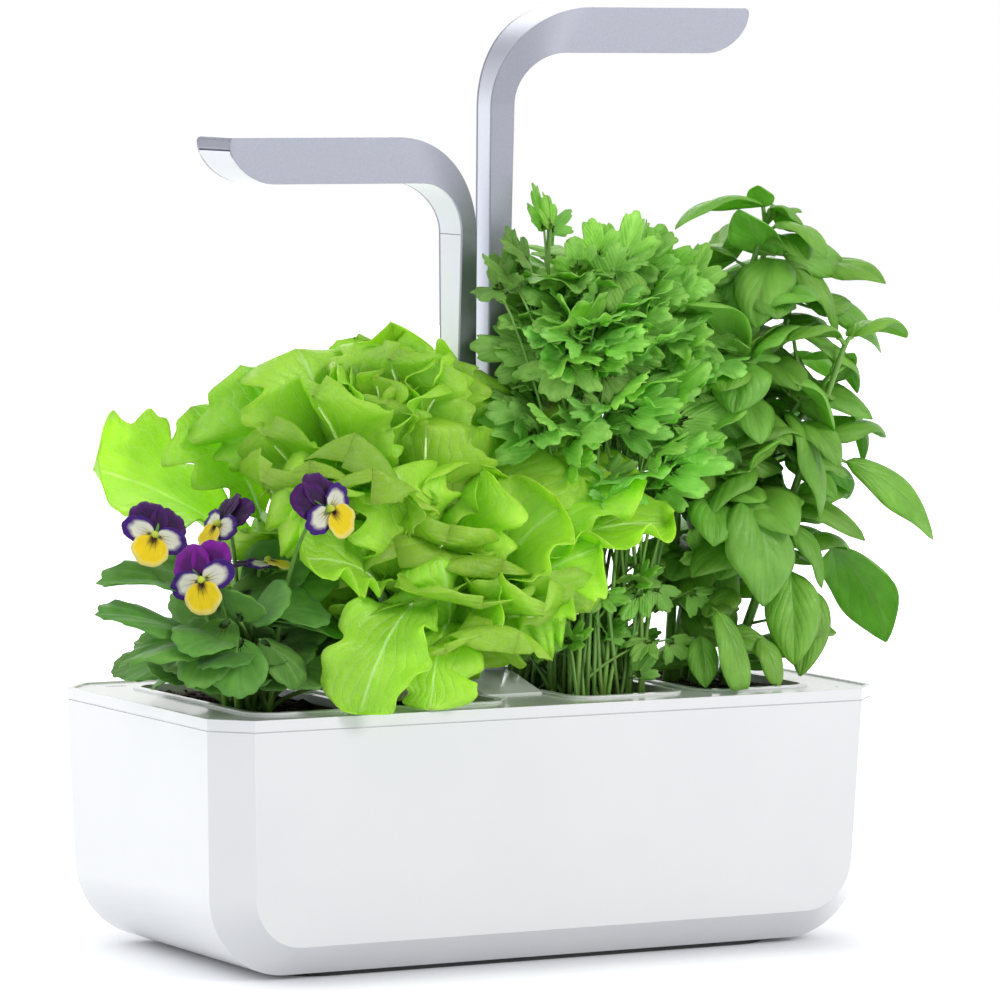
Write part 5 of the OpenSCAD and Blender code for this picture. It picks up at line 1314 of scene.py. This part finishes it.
def make_flower(leaves, stems, petals, rng, centre, azimuth, tilt, turn, size, upper_tint):
    level = math.cos(math.radians(tilt))
    normal = heading(math.radians(azimuth)) * level + vec(0, 0, math.sin(math.radians(tilt)))
    side = unit(np.cross([0, 0, 1.0], normal))
    up = np.cross(normal, side)

    def around(degrees):
        return math.cos(math.radians(degrees)) * up + math.sin(math.radians(degrees)) * side

    for angle, length, width, curl, behind, kind in PETALS:
        direction = around(angle + turn + rng.uniform(-5, 5))
        foot = centre - normal * behind + direction * 0.6
        midrib = petal_frame(foot, direction, normal, size * length, curl)
        tint = upper_tint if kind == "upper" else (1, 1, 1)
        lobes = [(5, 0.02, rng.uniform(0, 6))]
        frill = [(0.03, 5, rng.uniform(0, 6), 2.5), (0.015, 12, rng.uniform(0, 6), 4)]
        fan_leaf(petals[kind], midrib, size * length, size * width, tint, 0.22, lobes, frill, 0.15, 0.2,
                 9, 33, petal=True)
    # the small hooded middle, the calyx with its five sepals, and the bent stalk
    hood = [centre - normal * 2, centre + normal * 0.4 + up * 0.3, centre + normal * 1.4 - up * 0.4]
    stems.tube(hood, (1.6, 1.5, 0.7), (2.6, 1.6, 0.6), 8)
    back = centre - normal * 3.2
    stems.tube([centre - normal, back, back - normal * 2.2 - up * 0.8], (2.0, 1.8, 0.8), (0.9, 1, 0.9), 8)
    for angle in (0, 72, 144, 216, 288):
        d = around(angle + 20)
        blade_leaf(leaves, back + d * 0.8, back + d * 7 - normal * 0.5, 2.6, 10, 0, (1.1, 1.2, 1), rows=6,
                   columns=5, wave=0)
    root = VIOLA_CROWN + (centre - VIOLA_CROWN) * (0.25, 0.25, 0)
    neck = curve(root, back + up * 3 - normal * 2, 0.75, 11)
    stems.tube(np.vstack([neck, back - normal * 1.2]), (1.2, 0.75), (0.9, 1.0, 0.8))


def make_violas():
    rng = random.Random(VIOLA_SEED)
    leaves, stems = Sheets(), Sheets()
    petals = {kind: Sheets() for kind in PETAL_LOOKS}
    for base, tip, width, bend in placed(VIOLA_LEAVES):
        tint = shade(rng, 0.95, 1.25)
        crown = VIOLA_CROWN + vec(rng.uniform(-10, 10), rng.uniform(-12, 12), 0)
        viola_leaf(leaves, stems, rng, base, tip, width, bend, tint, crown)
    for q, az in spiral(VIOLA_FILLERS):
        out = heading(az)
        base = (VIOLA_CROWN + (-3, -3, 0) + out * (1.05, 1.25, 0) * 30 * q
                + vec(0, 0, 12 + 32 * (1 - q) + rng.uniform(-4, 8)))
        tip = base + out * rng.uniform(18, 28) + vec(0, 0, rng.uniform(-10, 12))
        if tip[0] > -82 or tip[1] < -78:
            continue
        viola_leaf(leaves, stems, rng, base, tip, rng.uniform(17, 24), rng.uniform(10, 50),
                   shade(rng, 0.7, 1.05), VIOLA_CROWN + out * 8 * q)
    for centre, *rest in FLOWERS:
        make_flower(leaves, stems, petals, rng, vec(*centre), *rest)
    leaves.make("viola_foliage", VIOLA, "pod1", "viola_plant", "viola_leaf", 0.4)
    stems.make("viola_stalks", STEM, "pod1", "viola_plant", "herb_stem")
    for kind, material in PETAL_LOOKS.items():
        petals[kind].make(f"viola_{kind}_petals", material, "pod1", "viola_flowers", "viola_petal", 0.25)


make_violas()
make_lettuce()
make_parsley()
make_basil()
